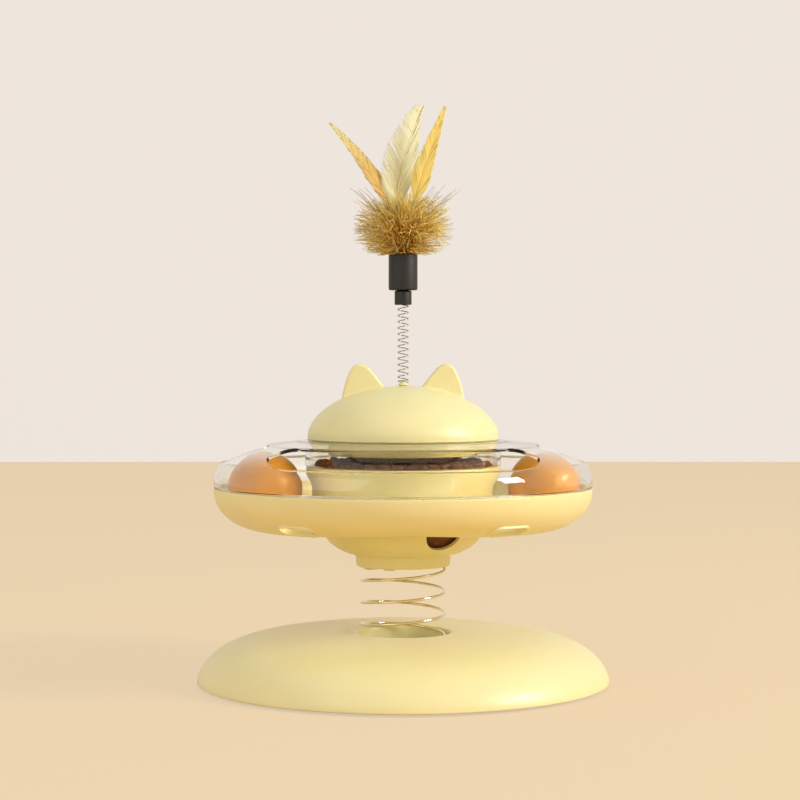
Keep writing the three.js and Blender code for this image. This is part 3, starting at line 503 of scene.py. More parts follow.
def mesh_object(
    name: str, corners: Sequence[Sequence[float]], faces: Sequence[Sequence[int]], smooth: float = 40.0,
) -> Piece:
    """Makes a piece from corners in millimetres.

    Args:
        name: The piece's name.
        corners: The corners.
        faces: The faces as corner numbers.
        smooth: Edges that turn by more than this many degrees stay sharp.

    Returns:
        The piece.
    """
    mesh = bpy.data.meshes.new(name)
    mesh.from_pydata([tuple(v * MM for v in corner) for corner in corners], [], faces)
    clean = bmesh.new()
    clean.from_mesh(mesh)
    bmesh.ops.remove_doubles(clean, verts=clean.verts, dist=0.002 * MM)
    bmesh.ops.recalc_face_normals(clean, faces=clean.faces)
    clean.to_mesh(mesh)
    clean.free()
    mesh.shade_smooth()
    mesh.set_sharp_from_angle(angle=math.radians(smooth))
    return link_object(name, mesh)


def even_steps(parts: int) -> list[float]:
    """The numbers from 0 to 1 in even steps."""
    return [i / parts for i in range(parts + 1)]


def stepped(start: Point, *moves: float) -> list[Point]:
    """An outline with square corners, which moves to a radius and to a height by turns.

    Args:
        start: Its first point of radius and height.
        moves: The next radius, then the next height, and so on.

    Returns:
        The outline.
    """
    points = [start]
    for i, value in enumerate(moves):
        radius, height = points[-1]
        points.append((radius, value) if i % 2 else (value, height))
    return points


def rounded_corner(start: Point, corner: Point, end: Point, steps: int = 5) -> list[Point]:
    """A round corner from one point to another, as a soft curve.

    Args:
        start: Where it begins.
        corner: The sharp corner that it rounds.
        end: Where it ends.
        steps: How many parts it has.

    Returns:
        The curve's points.
    """
    first, middle, last = Vector(start), Vector(corner), Vector(end)
    return [tuple(first.lerp(middle, t).lerp(middle.lerp(last, t), t)) for t in even_steps(steps)]


def rounded(outline: Sequence[Point], radius: float, steps: int, least_turn: float = 24.0) -> list[Point]:
    """Rounds the sharp corners of a closed outline.

    Args:
        outline: The outline's points, without the first one repeated.
        radius: The wanted radius, made smaller where the sides are short.
        steps: How many parts each round corner gets.
        least_turn: Corners that turn by less than this many degrees stay as they are.

    Returns:
        The new outline.
    """
    result: list[Point] = []
    for i, here in enumerate(outline):
        corner = Vector(here)
        back = Vector(outline[i - 1]) - corner
        ahead = Vector(outline[(i + 1) % len(outline)]) - corner
        turn = math.pi - back.angle(ahead) if back.length and ahead.length else 0.0
        on_axis = here[0] <= 0.0
        if math.degrees(turn) < least_turn or on_axis:
            result.append(here)
            continue
        reach = min(radius * math.tan(turn / 2), 0.45 * back.length, 0.45 * ahead.length)
        start, end = (corner + side.normalized() * reach for side in (back, ahead))
        result += rounded_corner(start, corner, end, steps)
    return result


def revolve(
    name: str, outline: Sequence[Point], segments: int = 160, soft: float = 0.0, soft_parts: int = 4,
) -> Piece:
    """Turns a closed outline of (radius, height) points about the Z axis.

    Args:
        name: The piece's name.
        outline: The outline, in millimetres.
        segments: How many parts the turn has.
        soft: The radius that its sharp corners get.
        soft_parts: How many parts a round corner has.

    Returns:
        The piece.
    """
    if soft:
        outline = rounded(outline, soft, soft_parts)
    count = len(outline)
    corners, faces = [], []
    for turn in range(segments):
        angle = 2 * math.pi * turn / segments
        across, up = math.cos(angle), math.sin(angle)
        corners += [(radius * across, radius * up, height) for radius, height in outline]
        here, following = turn * count, (turn + 1) % segments * count
        for i in range(count):
            j = (i + 1) % count
            if outline[i][0] > 0.0 or outline[j][0] > 0.0:
                faces.append((here + i, following + i, following + j, here + j))
    return mesh_object(name, corners, faces)


def apply_modifiers(piece: Piece) -> None:
    """Replaces a piece's mesh with what its modifiers make of it.

    Args:
        piece: The piece.
    """
    graph = bpy.context.evaluated_depsgraph_get()
    finished = bpy.data.meshes.new_from_object(piece.evaluated_get(graph))
    before = piece.data
    piece.modifiers.clear()
    piece.data = finished
    bpy.data.meshes.remove(before)


def combine(piece: Piece, other: Piece, operation: str = "DIFFERENCE") -> None:
    """Cuts or joins a piece with another, which is then deleted.

    Args:
        piece: The piece that stays.
        other: The cutter or the addition.
        operation: DIFFERENCE or UNION.
    """
    boolean = piece.modifiers.new("combine", "BOOLEAN")
    boolean.operation = operation
    boolean.object = other
    boolean.solver = "EXACT"
    apply_modifiers(piece)
    bpy.data.objects.remove(other)


def smooth_up_to(piece: Piece, angle: float) -> None:
    """Shades a piece smooth, but for edges that turn by more than an angle in degrees."""
    piece.data.shade_smooth()
    piece.data.set_sharp_from_angle(angle=math.radians(angle))


def soften_edges(piece: Piece, width_mm: float, angle: float = 40.0, segments: int = 3) -> None:
    """Rounds a piece's sharp edges a little, as a mould does.

    Args:
        piece: The piece.
        width_mm: The width of the rounding.
        angle: Edges that turn by more than this many degrees are rounded.
        segments: Its parts; one part makes a flat chamfer.
    """
    bevel = piece.modifiers.new("soften", "BEVEL")
    bevel.width = width_mm * MM
    bevel.segments = segments
    bevel.limit_method = "ANGLE"
    bevel.angle_limit = math.radians(angle)
    bevel.miter_outer = "MITER_ARC"
    bevel.use_clamp_overlap = True
    apply_modifiers(piece)
    smooth_up_to(piece, angle)


def prism(name: str, outline: Sequence[Point], bottom: float, top: float) -> Piece:
    """A straight prism over an outline in the XY plane, in millimetres.

    Args:
        name: The piece's name.
        outline: The outline's points.
        bottom: The lower height.
        top: The upper height.

    Returns:
        The piece.
    """
    count = len(outline)
    corners = [(x, y, height) for height in (bottom, top) for x, y in outline]
    return mesh_object(name, corners, tube_faces(0, 1, count))


def tube_faces(first: int, last: int, sides: int) -> list[tuple[int, ...]]:
    """The faces of a closed tube, whose rings of corners follow each other.

    Args:
        first: The number of its first corner.
        last: The number of its last ring, counted from 0.
        sides: The corners of a ring.

    Returns:
        The faces as corner numbers.
    """
    end = first + last * sides
    faces = [tuple(reversed(range(first, first + sides))), tuple(range(end, end + sides))]
    for ring in range(first, end, sides):
        for side in range(sides):
            following = (side + 1) % sides
            faces.append((ring + side, ring + following, ring + sides + following, ring + sides + side))
    return faces


def tube(name: str, path: Sequence[Vector], radius: float, sides: int) -> Piece:
    """A round tube along a path, with closed ends.

    Args:
        name: The piece's name.
        path: The centre points, in millimetres.
        radius: The tube's radius.
        sides: How many sides the tube has.

    Returns:
        The piece.
    """
    corners: list[Vector] = []
    last = len(path) - 1
    sideways = (path[1] - path[0]).normalized().orthogonal().normalized()
    for i, point in enumerate(path):
        along = (path[min(i + 1, last)] - path[max(i - 1, 0)]).normalized()
        sideways = (sideways - along * sideways.dot(along)).normalized()
        upward = along.cross(sideways)
        for side in range(sides):
            angle = 2 * math.pi * side / sides
            corners.append(point + (sideways * math.cos(angle) + upward * math.sin(angle)) * radius)
    return mesh_object(name, corners, tube_faces(0, last, sides), 60.0)


def moved(piece: Piece, place: Sequence[float] = (0, 0, 0), angle: float = 0.0, axis: str = "Z") -> Piece:
    """Turns a piece's mesh by degrees about an axis, then moves it by millimetres.

    Args:
        piece: The piece.
        place: How far it moves.
        angle: How far it turns first.
        axis: The axis that it turns about.

    Returns:
        The piece.
    """
    turn = Matrix.Rotation(math.radians(angle), 4, axis)
    piece.data.transform(Matrix.Translation(Vector(place) * MM) @ turn)
    return piece


def stand_for(piece: Piece, slot: str, *nodes: str) -> None:
    """Hides the solids that a piece replaces, and logs it.

    Args:
        piece: The piece.
        slot: The record's material slot; not used.
        nodes: The solids that it replaces.
    """
    if nodes:
        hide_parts(*nodes)
    LOG.info("%s: %d faces", piece.name, len(piece.data.polygons))


def box_of(node: str) -> tuple[Vector, Vector]:
    """The lowest and the highest corner of a solid, in millimetres."""
    lowest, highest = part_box(node)
    return Vector(lowest) / MM, Vector(highest) / MM


def joint_values(joint: str, key: str) -> list[float]:
    """A joint's pivot or range as the frame gives it, in millimetres."""
    found = next(j for j in frame["joints"] if j["name"] == joint)
    return [value / MM for value in found[key]]


def circle(radius: float, parts: int) -> list[Point]:
    """Points evenly round a circle."""
    angles = [2 * math.pi * i / parts for i in range(parts)]
    return [(radius * math.cos(angle), radius * math.sin(angle)) for angle in angles]


def oval(half_length: float, half_width: float, steps: int = 10) -> list[Point]:
    """A slot's outline with round ends, its length along Y.

    Args:
        half_length: From the middle to a tip.
        half_width: From the middle to a side.
        steps: Parts of each round end.

    Returns:
        The outline's points.
    """
    straight = half_length - half_width
    points = []
    for end, start in ((1, 0.0), (-1, math.pi)):
        for step in range(steps + 1):
            angle = start + math.pi * step / steps
            points.append((half_width * math.cos(angle), end * straight + half_width * math.sin(angle)))
    return points


def sector(name: str, inner: float, outer: float, angles: Point, bottom: float, top: float) -> Piece:
    """A block between two radii.

    Args:
        name: The block's name.
        inner: The inner radius.
        outer: The outer radius.
        angles: Its middle's angle and half of its width, in degrees.
        bottom: The lower height.
        top: The upper height.

    Returns:
        The block.
    """
    outline = []
    for radius, turns in ((outer, (-1, 0, 1)), (inner, (1, 0, -1))):
        for turn in turns:
            at = math.radians(angles[0] + turn * angles[1])
            outline.append((radius * math.cos(at), radius * math.sin(at)))
    return prism(name, outline, bottom, top)


def leaning_bore(name: str, radius: float, reach: float, tilt: float, place: Point) -> Piece:
    """A round cutter that leans in the XZ plane.

    Args:
        name: The cutter's name.
        radius: Its radius.
        reach: How far it goes each way from its middle.
        tilt: Its lean from upright, in degrees.
        place: The middle's radius and height.

    Returns:
        The cutter.
    """
    bore = prism(name, circle(radius, 48), -reach, reach)
    return moved(bore, (place[0], 0, place[1]), tilt, "Y")


def spline(points: Sequence[Point], steps: int = 6) -> list[Point]:
    """A smooth open curve through points.

    Args:
        points: The points.
        steps: How many parts lie between two points.

    Returns:
        The curve's points.
    """
    curve = []
    last = len(points) - 1
    for i in range(last):
        before, start = Vector(points[max(i - 1, 0)]), Vector(points[i])
        end, after = Vector(points[i + 1]), Vector(points[min(i + 2, last)])
        for step in range(steps):
            t = step / steps
            bend = (end - before) * t + (2 * before - 5 * start + 4 * end - after) * t * t
            bend += (3 * start - before - 3 * end + after) * t ** 3
            curve.append(tuple(start + bend / 2))
    return [*curve, points[-1]]


def offset_outline(outline: Sequence[Point], distance: float) -> list[Point]:
    """Moves an open outline sideways.

    Args:
        outline: Points of radius and height.
        distance: How far the points move to the right, or with a negative distance to the left.

    Returns:
        The moved points.
    """
    moved_points = []
    last = len(outline) - 1
    for i, (radius, height) in enumerate(outline):
        before, after = outline[max(i - 1, 0)], outline[min(i + 1, last)]
        along = Vector((after[0] - before[0], after[1] - before[1])).normalized()
        moved_points.append((radius + along.y * distance, height - along.x * distance))
    return moved_points


def resampled(outline: Sequence[Point], parts: int) -> list[Point]:
    """Points along an open outline, closer together at its ends.

    Args:
        outline: The outline.
        parts: How many parts the result has.

    Returns:
        The points.
    """
    lengths = [0.0]
    for start, end in zip(outline, outline[1:]):
        lengths.append(lengths[-1] + math.dist(start, end))
    points = []
    for t in even_steps(parts):
        wanted = lengths[-1] * (1 - math.cos(math.pi * t)) / 2
        piece = max(k for k in range(len(outline) - 1) if lengths[k] <= wanted or k == 0)
        share = (wanted - lengths[piece]) / (lengths[piece + 1] - lengths[piece])
        points.append(tuple(Vector(outline[piece]).lerp(Vector(outline[piece + 1]), share)))
    return points


def slab_faces(parts: int) -> list[tuple[int, ...]]:
    """The faces of a slab whose two layers are square grids of corners, one after the other.

    Args:
        parts: The parts of a row, and the rows of a layer.

    Returns:
        The faces as corner numbers.
    """
    wide = parts + 1
    layer = wide * wide
    faces: list[tuple[int, ...]] = []
    for row in range(parts):
        for column in range(parts):
            near = row * wide + column
            far = near + wide
            faces.append((near, near + 1, far + 1, far))
            faces.append((layer + far, layer + far + 1, layer + near + 1, layer + near))
    rim = list(range(parts))
    rim += [row * wide + parts for row in range(parts)]
    rim += [parts * wide + column for column in range(parts, 0, -1)]
    rim += [row * wide for row in range(parts, 0, -1)]
    for here, following in zip(rim, [*rim[1:], rim[0]]):
        faces.append((here, following, layer + following, layer + here))
    return faces


def height_on(outline: Sequence[Point], radius: float) -> float:
    """The height of an open outline at a radius.

    Args:
        outline: Points of radius and height.
        radius: The radius.

    Returns:
        The height, or the first point's where the outline doesn't pass the radius.
    """
    for (start, low_end), (end, high_end) in zip(outline, outline[1:]):
        share = (radius - start) / (end - start) if end != start else -1.0
        if 0.0 <= share <= 1.0:
            return low_end + (high_end - low_end) * share
    return outline[0][1]


# Sub-assemblies


@dataclass
class Base:
    """Weighted foot of the toy: a moulded dome with a well for the spring, and what is under it."""

    palette: Palette
    radius: float = 107.5
    height: float = 26.6
    foot: float = 1.2
    wall: float = 2.6
    fullness: float = 5.5
    shoulder: float = 1.7
    steps: int = 56
    well_radius: float = 24.5
    well_wall: float = 2.4
    well_floor: float = 9.0
    well_floor_wall: float = 2.5
    well_floor_round: float = 3.0
    lip_round: float = 1.6
    lip_parts: int = 6
    edge_round: float = 0.7

    def curve(self, inset: float, start_radius: float) -> list[Point]:
        """The dome's section from the well to its edge.

        Args:
            inset: How far inside the outer face it lies.
            start_radius: Where it begins.

        Returns:
            Points of radius and height.
        """
        radius, rise = self.radius - inset, self.height - self.foot - inset
        start = math.asin((start_radius / radius) ** (self.fullness / 2))
        points = []
        for t in even_steps(self.steps):
            turn = start + (math.pi / 2 - start) * t
            across = math.sin(turn) ** (2 / self.fullness)
            up = max(math.cos(turn), 0.0) ** (2 / self.shoulder)
            points.append((radius * across, self.foot + rise * up))
        return points

    def build(self) -> None:
        """Builds the dome with its well in one moulding, and dresses what lies under it."""
        well, floor, lip = self.well_radius, self.well_floor, self.lip_round
        outer = self.curve(0.0, well + lip)
        inner = self.curve(self.wall, well + self.well_wall)
        rim = outer[0][1]
        turns = [math.pi / 2 * t for t in even_steps(self.lip_parts)[:-1]]
        outer[-1] = (self.radius, self.foot + self.edge_round)
        shell = revolve("base_dome", [
            (0.0, floor),
            *rounded_corner((well - self.well_floor_round, floor), (well, floor),
                            (well, floor + self.well_floor_round)),
            *[(well + lip * (1 - math.cos(turn)), rim - lip * (1 - math.sin(turn))) for turn in turns],
            *outer,
            (self.radius - self.edge_round, self.foot),
            (self.radius - self.wall, self.foot),
            *reversed(inner[:-1]),
            (well + self.well_wall, floor - self.well_floor_wall),
            (0.0, floor - self.well_floor_wall),
        ], segments=192)
        self.palette.set_in(shell, self.palette.shell, Body.BASE, "yellow_plastic", "base_shell")
        self.palette.dress_solids({
            "base_plate": self.palette.shell,
            "base_ballast": self.palette.ballast,
            "rubber_foot": self.palette.foot,
            "plate_screw": self.palette.screw,
            "lower_seat_screw": self.palette.screw,
        })


@dataclass
class Coil:
    """A wire coil with closed ends, right-handed, that starts on the X axis."""

    radius: float
    wire: float
    pitch: float
    closed_pitch: float
    foot_turns: float
    head_turns: float
    foot: float
    top: float
    steps_per_turn: int = 56
    sides: int = 12
    ease: float = 0.12
    ease_samples: int = 9

    @property
    def turns(self) -> float:
        """All the turns from the foot to the top."""
        closed_turns = self.foot_turns + self.head_turns
        return closed_turns + (self.top - self.foot - self.closed_pitch * closed_turns) / self.pitch

    def plain_rise(self, turn: float) -> float:
        """The wire's height at a turn, with a kink where the pitch changes.

        Args:
            turn: The turns from the foot.

        Returns:
            The height.
        """
        middle = min(max(turn, self.foot_turns), self.turns - self.head_turns)
        closed = turn - middle + self.foot_turns
        return self.foot + self.closed_pitch * closed + self.pitch * (middle - self.foot_turns)

    def rise(self, turn: float) -> float:
        """The wire's height at a turn, with the pitch changing softly.

        Args:
            turn: The turns from the foot.

        Returns:
            The height.
        """
        count = self.ease_samples
        shifts = [self.ease * (2 * i / (count - 1) - 1) for i in range(count)]
        return sum(self.plain_rise(turn + shift) for shift in shifts) / count

    def turn_at(self, height: float) -> float:
        """The turn at which the wire passes a height.

        Args:
            height: The height.

        Returns:
            The turns from the foot.
        """
        below, above = 0.0, self.turns
        for _ in range(40):
            middle = (below + above) / 2
            if self.rise(middle) < height:
                below = middle
            else:
                above = middle
        return below

    def stretches(self, palette: Palette, finish: Finish, cuts: Sequence[float], *names: str) -> list[Piece]:
        """Builds the wire in stretches, each one a closed tube, and dresses them.

        Args:
            palette: The palette that makes the materials.
            finish: The wire's finish.
            cuts: The heights between the stretches.
            names: The stretches' names, from the foot up.

        Returns:
            The stretches.
        """
        turns = [0.0, *[self.turn_at(height) for height in cuts], self.turns]
        wires = []
        for name, start, end in zip(names, turns, turns[1:]):
            path = []
            for t in even_steps(max(int((end - start) * self.steps_per_turn), 8)):
                turn = start + (end - start) * t
                angle = 2 * math.pi * turn
                x, y = self.radius * math.cos(angle), self.radius * math.sin(angle)
                path.append(Vector((x, y, self.rise(turn))))
            wires.append(tube(name, path, self.wire, self.sides))
        palette.dress(finish, *wires)
        return wires


@dataclass
class SpringSeat:
    """A moulded disc with a hub inside the coil and barbs over its closed turn."""

    disc_radius: float = 22.5
    disc_thickness: float = 1.8
    hub_radius: float = 19.0
    hub_wall: float = 2.6
    hub_height: float = 6.6
    hole_radius: float = 6.0
    barb_outer: float = 22.4
    barb_thickness: float = 0.8
    barb_half_angle: float = 7.0
    soft_edge: float = 0.35

    def make(self, name: str, barbs: Sequence[Point], hub_height: float) -> Piece:
        """Builds a seat that stands on the height 0.

        Args:
            name: The piece's name.
            barbs: For each barb its angle in degrees and its lower face's height.
            hub_height: How far its hub stands above the disc.

        Returns:
            The seat.
        """
        hub_top = self.disc_thickness + hub_height
        inner = self.hub_radius - self.hub_wall
        seat = revolve(name, stepped(
            (self.hole_radius, 0.0), self.disc_radius, self.disc_thickness, self.hub_radius, hub_top,
            inner, self.disc_thickness, self.hole_radius,
        ), segments=96, soft=self.soft_edge, soft_parts=3)
        for angle, height in barbs:
            angles = (angle, self.barb_half_angle)
            barb = sector("barb", inner + 1, self.barb_outer, angles, height, height + self.barb_thickness)
            combine(seat, barb, "UNION")
        return seat


@dataclass
class MainSpring:
    """The big wire spring between base and saucer, with a seat at each end."""

    palette: Palette
    coil: Coil = field(default_factory=lambda: Coil(
        radius=21.8, wire=0.7, pitch=11.5, closed_pitch=2.2, foot_turns=1.17, head_turns=1.0,
        foot=12.6, top=63.2,
    ))
    seat: SpringSeat = field(default_factory=SpringSeat)
    barb_angles: tuple[float, ...] = (170.0, 240.0, 310.0)
    upper_barb_angles: tuple[float, ...] = (165.0, 205.0, 245.0)
    upper_hub_height: float = 2.7
    cap_room: float = 1.1
    gap: float = 0.3

    def make_wire(self) -> None:
        """Builds the wire in three stretches cut at the hinges: the lower two stay fixed, and the third
        rides on the spring's body.
        """
        first, second = (joint_values(joint, "pos_m")[2] for joint in ("sway_x", "sway_y"))
        cut = (first + second) / 2
        upper_cut = 2 * second - cut
        wires = self.coil.stretches(self.palette, self.palette.wire, (cut, upper_cut),
                                    "main_spring_foot", "main_spring_middle", "main_spring_head")
        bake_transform(wires[0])
        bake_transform(wires[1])
        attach(wires[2], Body.SPRING.value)
        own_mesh(wires[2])
        for wire in wires:
            stand_for(wire, "spring_steel", "big_spring")

    def make_seats(self) -> None:
        """Builds the two seats on their solids' heights, with a notch for the wire's end cap."""
        coil, shell, room = self.coil, self.palette.shell, self.cap_room
        bottom, top = box_of("lower_spring_seat")[0].z, box_of("upper_spring_seat")[1].z
        lift = coil.wire + self.gap
        barbs = [(angle, coil.plain_rise(angle / 360) + lift - bottom) for angle in self.barb_angles]
        lower = moved(self.seat.make("lower_seat", barbs, self.seat.hub_height), (0, 0, bottom))
        near, far = box_of("spring_end_cap")
        notch = [(near.x - room, near.y - room), (far.x + room, near.y - room),
                 (far.x + room, far.y + room), (near.x - room, far.y + room)]
        combine(lower, prism("cap_notch", notch, near.z - room, far.z + 4 * room))
        self.palette.set_in(lower, shell, Body.BASE, "yellow_plastic", "lower_spring_seat")
        turns = [coil.turns - angle / 360 for angle in self.upper_barb_angles]
        barbs = [(-360 * turn, top - coil.plain_rise(turn) + lift) for turn in turns]
        upper = moved(self.seat.make("upper_seat", barbs, self.upper_hub_height), (0, 0, top), 180, "X")
        self.palette.set_in(upper, shell, Body.SAUCER, "yellow_plastic", "upper_spring_seat")

    def build(self) -> None:
        """Builds the spring, its seats, its end cap's finish and the upper screws' finish."""
        self.make_wire()
        self.make_seats()
        self.palette.dress_solids({
            "spring_end_cap": self.palette.cap, "upper_seat_screw": self.palette.screw,
        })


@dataclass
class Saucer:
    """Tray, treat bowl and clear cover: everything between the big spring and the lid."""

    palette: Palette
    seam_radius: float = 98.6
    seam: float = 102.1
    depth: float = 20.9
    wall: float = 2.2
    round_width: float = 28.6
    roundness: float = 2.25
    bead_drop: float = 0.15
    bead_width: float = 2.2
    tongue_width: float = 0.9
    tongue_height: float = 0.8
    slot_angles: tuple[float, ...] = (54.0, 126.0, 234.0, 306.0)
    slot_half_length: float = 10.5
    slot_half_width: float = 4.25
    slot_turn: float = 36.0
    slot_lip_width: float = 1.2
    slot_lip_rise: float = 0.4
    slot_cut_reach: float = 20.0
    gate_angles: tuple[float, ...] = (233.9, 253.0, 258.1, 275.2, 289.5, 309.4)
    gate_width: float = 0.65
    gate_depth: float = 0.6
    belly_lift: float = 1.3
    belly_drop: float = 0.9
    belly_radius: float = 73.0
    belly_reach: float = 20.0
    belly_angle: float = 24.0
    rim_radius: float = 50.6
    rim_top: float = 113.4
    band_bottom: float = 111.6
    band_step: float = 9.0
    bowl_wall_radius: float = 47.5
    bowl_wall: float = 2.0
    neck_radius: float = 43.0
    neck_play: float = 0.4
    round_start: float = 18.0
    bowl_bottom: float = 66.3
    collar_radius: float = 24.4
    collar_wall: float = 1.5
    collar_bottom: float = 61.2
    hole_radius: float = 10.2
    hole_angle: float = -60.0
    hole_height: float = 80.0
    hole_tilt: float = 28.0
    hole_top_margin: float = 1.2
    cover_wall: float = 1.8
    cover_foot_rise: float = 2.0
    cover_shoulder: float = 14.0
    cover_turn: Point = (91.0, 121.2)
    cover_slope: Point = (73.0, 124.4)
    cover_flange: Point = (52.6, 126.8)
    neck_inner: float = 49.4
    window_angles: tuple[float, ...] = (30.0, 150.0, 270.0)
    window_half_angle: float = 50.5
    window_inner: float = 70.0
    window_low: float = 114.6
    window_low_round: float = 13.0
    window_low_turn: float = 15.5
    window_corner: float = 6.0
    window_high_turn: float = 4.9
    window_parts: int = 44
    window_reach: float = 3.06
    gap: float = 0.3
    beyond: float = 200.0

    @property
    def floor(self) -> float:
        """The height of the tray's floor."""
        return self.seam - self.depth + self.wall

    @property
    def bowl_shoulder(self) -> float:
        """The height of the step by which the bowl sits on the tray."""
        return self.floor + self.gap

    def tray_point(self, inset: float, degrees: float) -> Point:
        """A point of the tray's rounded quarter section.

        Args:
            inset: How far inside the outer face it lies.
            degrees: From 0 at the floor to 90 at the seam.

        Returns:
            Its radius and height.
        """
        across = math.sin(math.radians(degrees)) ** (2 / self.roundness)
        down = max(math.cos(math.radians(degrees)), 0.0) ** (2 / self.roundness)
        flat = self.seam_radius - self.round_width
        return (flat + (self.round_width - inset) * across, self.seam - (self.depth - inset) * down)

    def tray_curve(self, inset: float, steps: int = 36) -> list[Point]:
        """The tray's rounded section, evenly in angle."""
        return [self.tray_point(inset, 90 * t) for t in even_steps(steps)]

    def slot_prism(self, name: str, margin: float, below: float, above: float, angle: float) -> Piece:
        """A prism square to the tray's wall at one of its slots.

        Args:
            name: The prism's name.
            margin: How much wider than the slot it is, on each side.
            below: How far it reaches out of the wall's middle.
            above: How far it reaches into the tray.
            angle: The slot's place round the tray, in degrees.

        Returns:
            The prism.
        """
        radius, height = self.tray_point(self.wall / 2, self.slot_turn)
        next_radius, next_height = self.tray_point(self.wall / 2, self.slot_turn + 1)
        slope = math.degrees(math.atan2(next_height - height, next_radius - radius))
        outline = oval(self.slot_half_length + margin, self.slot_half_width + margin)
        piece = moved(prism(name, outline, -below, above), (radius, 0, height), -slope, "Y")
        return moved(piece, angle=angle)

    def shape_belly(self, tray: Piece, outer: Sequence[Point]) -> None:
        """Moves the tray's lower face: a little up at the front and the back, and down at the sides.

        Args:
            tray: The tray before its slots are cut.
            outer: The section of its outer face.
        """
        for vert in tray.data.vertices:
            x, y, z = vert.co / MM
            radius = math.hypot(x, y)
            away = (radius - self.belly_radius) / self.belly_reach
            if abs(away) >= 1 or abs(z - height_on(outer, radius)) > self.wall / 3:
                continue
            turn = math.degrees(math.atan2(abs(x), abs(y)))
            front = math.exp(-0.5 * (turn / self.belly_angle) ** 2)
            share = math.cos(away * math.pi / 2) ** 0.8
            vert.co.z += share * (front * self.belly_lift - (1 - front) * self.belly_drop) * MM

    def make_tray(self) -> None:
        """Builds the tray, its four slots with the raised lips round them, and its gate marks."""
        hole = self.neck_radius + self.neck_play
        bottom = self.seam - self.depth
        tongue_inner = self.seam_radius - self.wall
        tongue_outer = tongue_inner + self.tongue_width
        tongue_top = self.seam + self.tongue_height
        outer, inner = self.tray_curve(0.0), self.tray_curve(self.wall)
        tray = revolve("saucer_lower_shell", [
            (hole, bottom - self.bead_drop),
            (hole + self.bead_width, bottom - self.bead_drop),
            (hole + self.bead_width, bottom),
            *outer,
            (tongue_outer, self.seam),
            (tongue_outer, tongue_top),
            (tongue_inner, tongue_top),
            *reversed(inner[:-1]),
            (hole, self.floor),
        ], segments=180, soft=0.4, soft_parts=3)
        self.shape_belly(tray, [(hole, bottom), *outer])
        lip_below, reach = self.slot_lip_rise + self.wall / 2, self.slot_cut_reach
        for angle in self.slot_angles:
            combine(tray, self.slot_prism("slot_lip", self.slot_lip_width, lip_below, 0.0, angle), "UNION")
            combine(tray, self.slot_prism("slot_cut", 0.0, reach, reach, angle))
        for angle in self.gate_angles:
            outline = oval(self.gate_width, self.gate_width)
            mark = prism("gate_mark", outline, self.seam - self.gate_depth, self.seam + self.gate_depth)
            combine(tray, moved(moved(mark, (self.seam_radius, 0, 0)), angle=angle))
        soften_edges(tray, width_mm=0.4)
        self.palette.set_in(tray, self.palette.shell, Body.SAUCER, "yellow_plastic", "saucer_tray")

    def bowl_curve(self, inset: float, steps: int = 28) -> list[Point]:
        """The bowl's round underside from its neck to the middle.

        Args:
            inset: How far inside the outer face it lies.
            steps: How many parts it has.

        Returns:
            Points of radius and height.
        """
        width = self.neck_radius - self.round_start - inset
        drop = self.bowl_shoulder - self.bowl_bottom - inset
        turns = [math.pi / 2 * t for t in even_steps(steps)]
        return [(self.round_start + width * math.cos(turn), self.bowl_shoulder - drop * math.sin(turn))
                for turn in turns]

    def hole_cutter(self, name: str, radius: float, reach: float) -> Piece:
        """A bore through the treat hole, which leans out of the bowl's side.

        Args:
            name: The cutter's name.
            radius: Its radius.
            reach: How far it goes each way from the bowl's wall.

        Returns:
            The cutter, before it is turned to the hole's side.
        """
        return leaning_bore(name, radius, reach, 90 + self.hole_tilt, (self.neck_radius, self.hole_height))

    def make_bowl(self) -> None:
        """Builds the treat bowl with its rim band, its treat hole and its collar."""
        collar_inner = self.collar_radius - self.collar_wall
        wall_inner = self.bowl_wall_radius - self.bowl_wall
        bowl = revolve("treat_bowl_shell", [
            (0.0, self.bowl_bottom),
            (collar_inner, self.bowl_bottom),
            (collar_inner, self.collar_bottom),
            (self.collar_radius, self.collar_bottom),
            *[point for point in reversed(self.bowl_curve(0.0)) if point[0] > self.collar_radius],
            (self.bowl_wall_radius, self.bowl_shoulder),
            (self.bowl_wall_radius, self.band_bottom - self.band_step),
            (self.rim_radius, self.band_bottom),
            (self.rim_radius, self.rim_top),
            (self.rim_radius - self.bowl_wall, self.rim_top),
            (wall_inner, self.band_bottom + self.bowl_wall - self.band_step),
            (wall_inner, self.bowl_shoulder + self.bowl_wall),
            *[point for point in self.bowl_curve(self.bowl_wall) if point[0] < wall_inner],
            (0.0, self.bowl_bottom + self.bowl_wall),
        ], soft=0.6)
        cutter = self.hole_cutter("treat_hole", self.hole_radius, self.neck_radius - self.round_start)
        slab = oval(self.beyond, self.beyond / 2)
        combine(cutter, prism("hole_top", slab, self.bowl_shoulder - self.hole_top_margin, self.beyond))
        combine(bowl, moved(cutter, angle=self.hole_angle))
        soften_edges(bowl, width_mm=0.35)
        self.palette.set_in(bowl, self.palette.shell, Body.SAUCER, "yellow_plastic", "treat_bowl")

    def cover_section(self, steps: int = 40, top_parts: int = 10) -> list[Point]:
        """The cover's outer section.

        Args:
            steps: Parts of its curved stretch.
            top_parts: Parts of its nearly flat top.

        Returns:
            Points of radius and height, from above the seam to the flange.
        """
        foot = self.seam + self.gap
        handles = [Vector(point) for point in (
            (self.seam_radius, foot + self.cover_foot_rise), (self.seam_radius, foot + self.cover_shoulder),
            self.cover_turn, self.cover_slope,
        )]
        points = []
        for t in even_steps(steps):
            weights = ((1 - t) ** 3, 3 * t * (1 - t) ** 2, 3 * t * t * (1 - t), t ** 3)
            total = sum((handle * weight for handle, weight in zip(handles, weights)), Vector((0.0, 0.0)))
            points.append(tuple(total))
        flange = Vector(self.cover_flange)
        return points + [tuple(handles[-1].lerp(flange, t)) for t in even_steps(top_parts)[1:]]

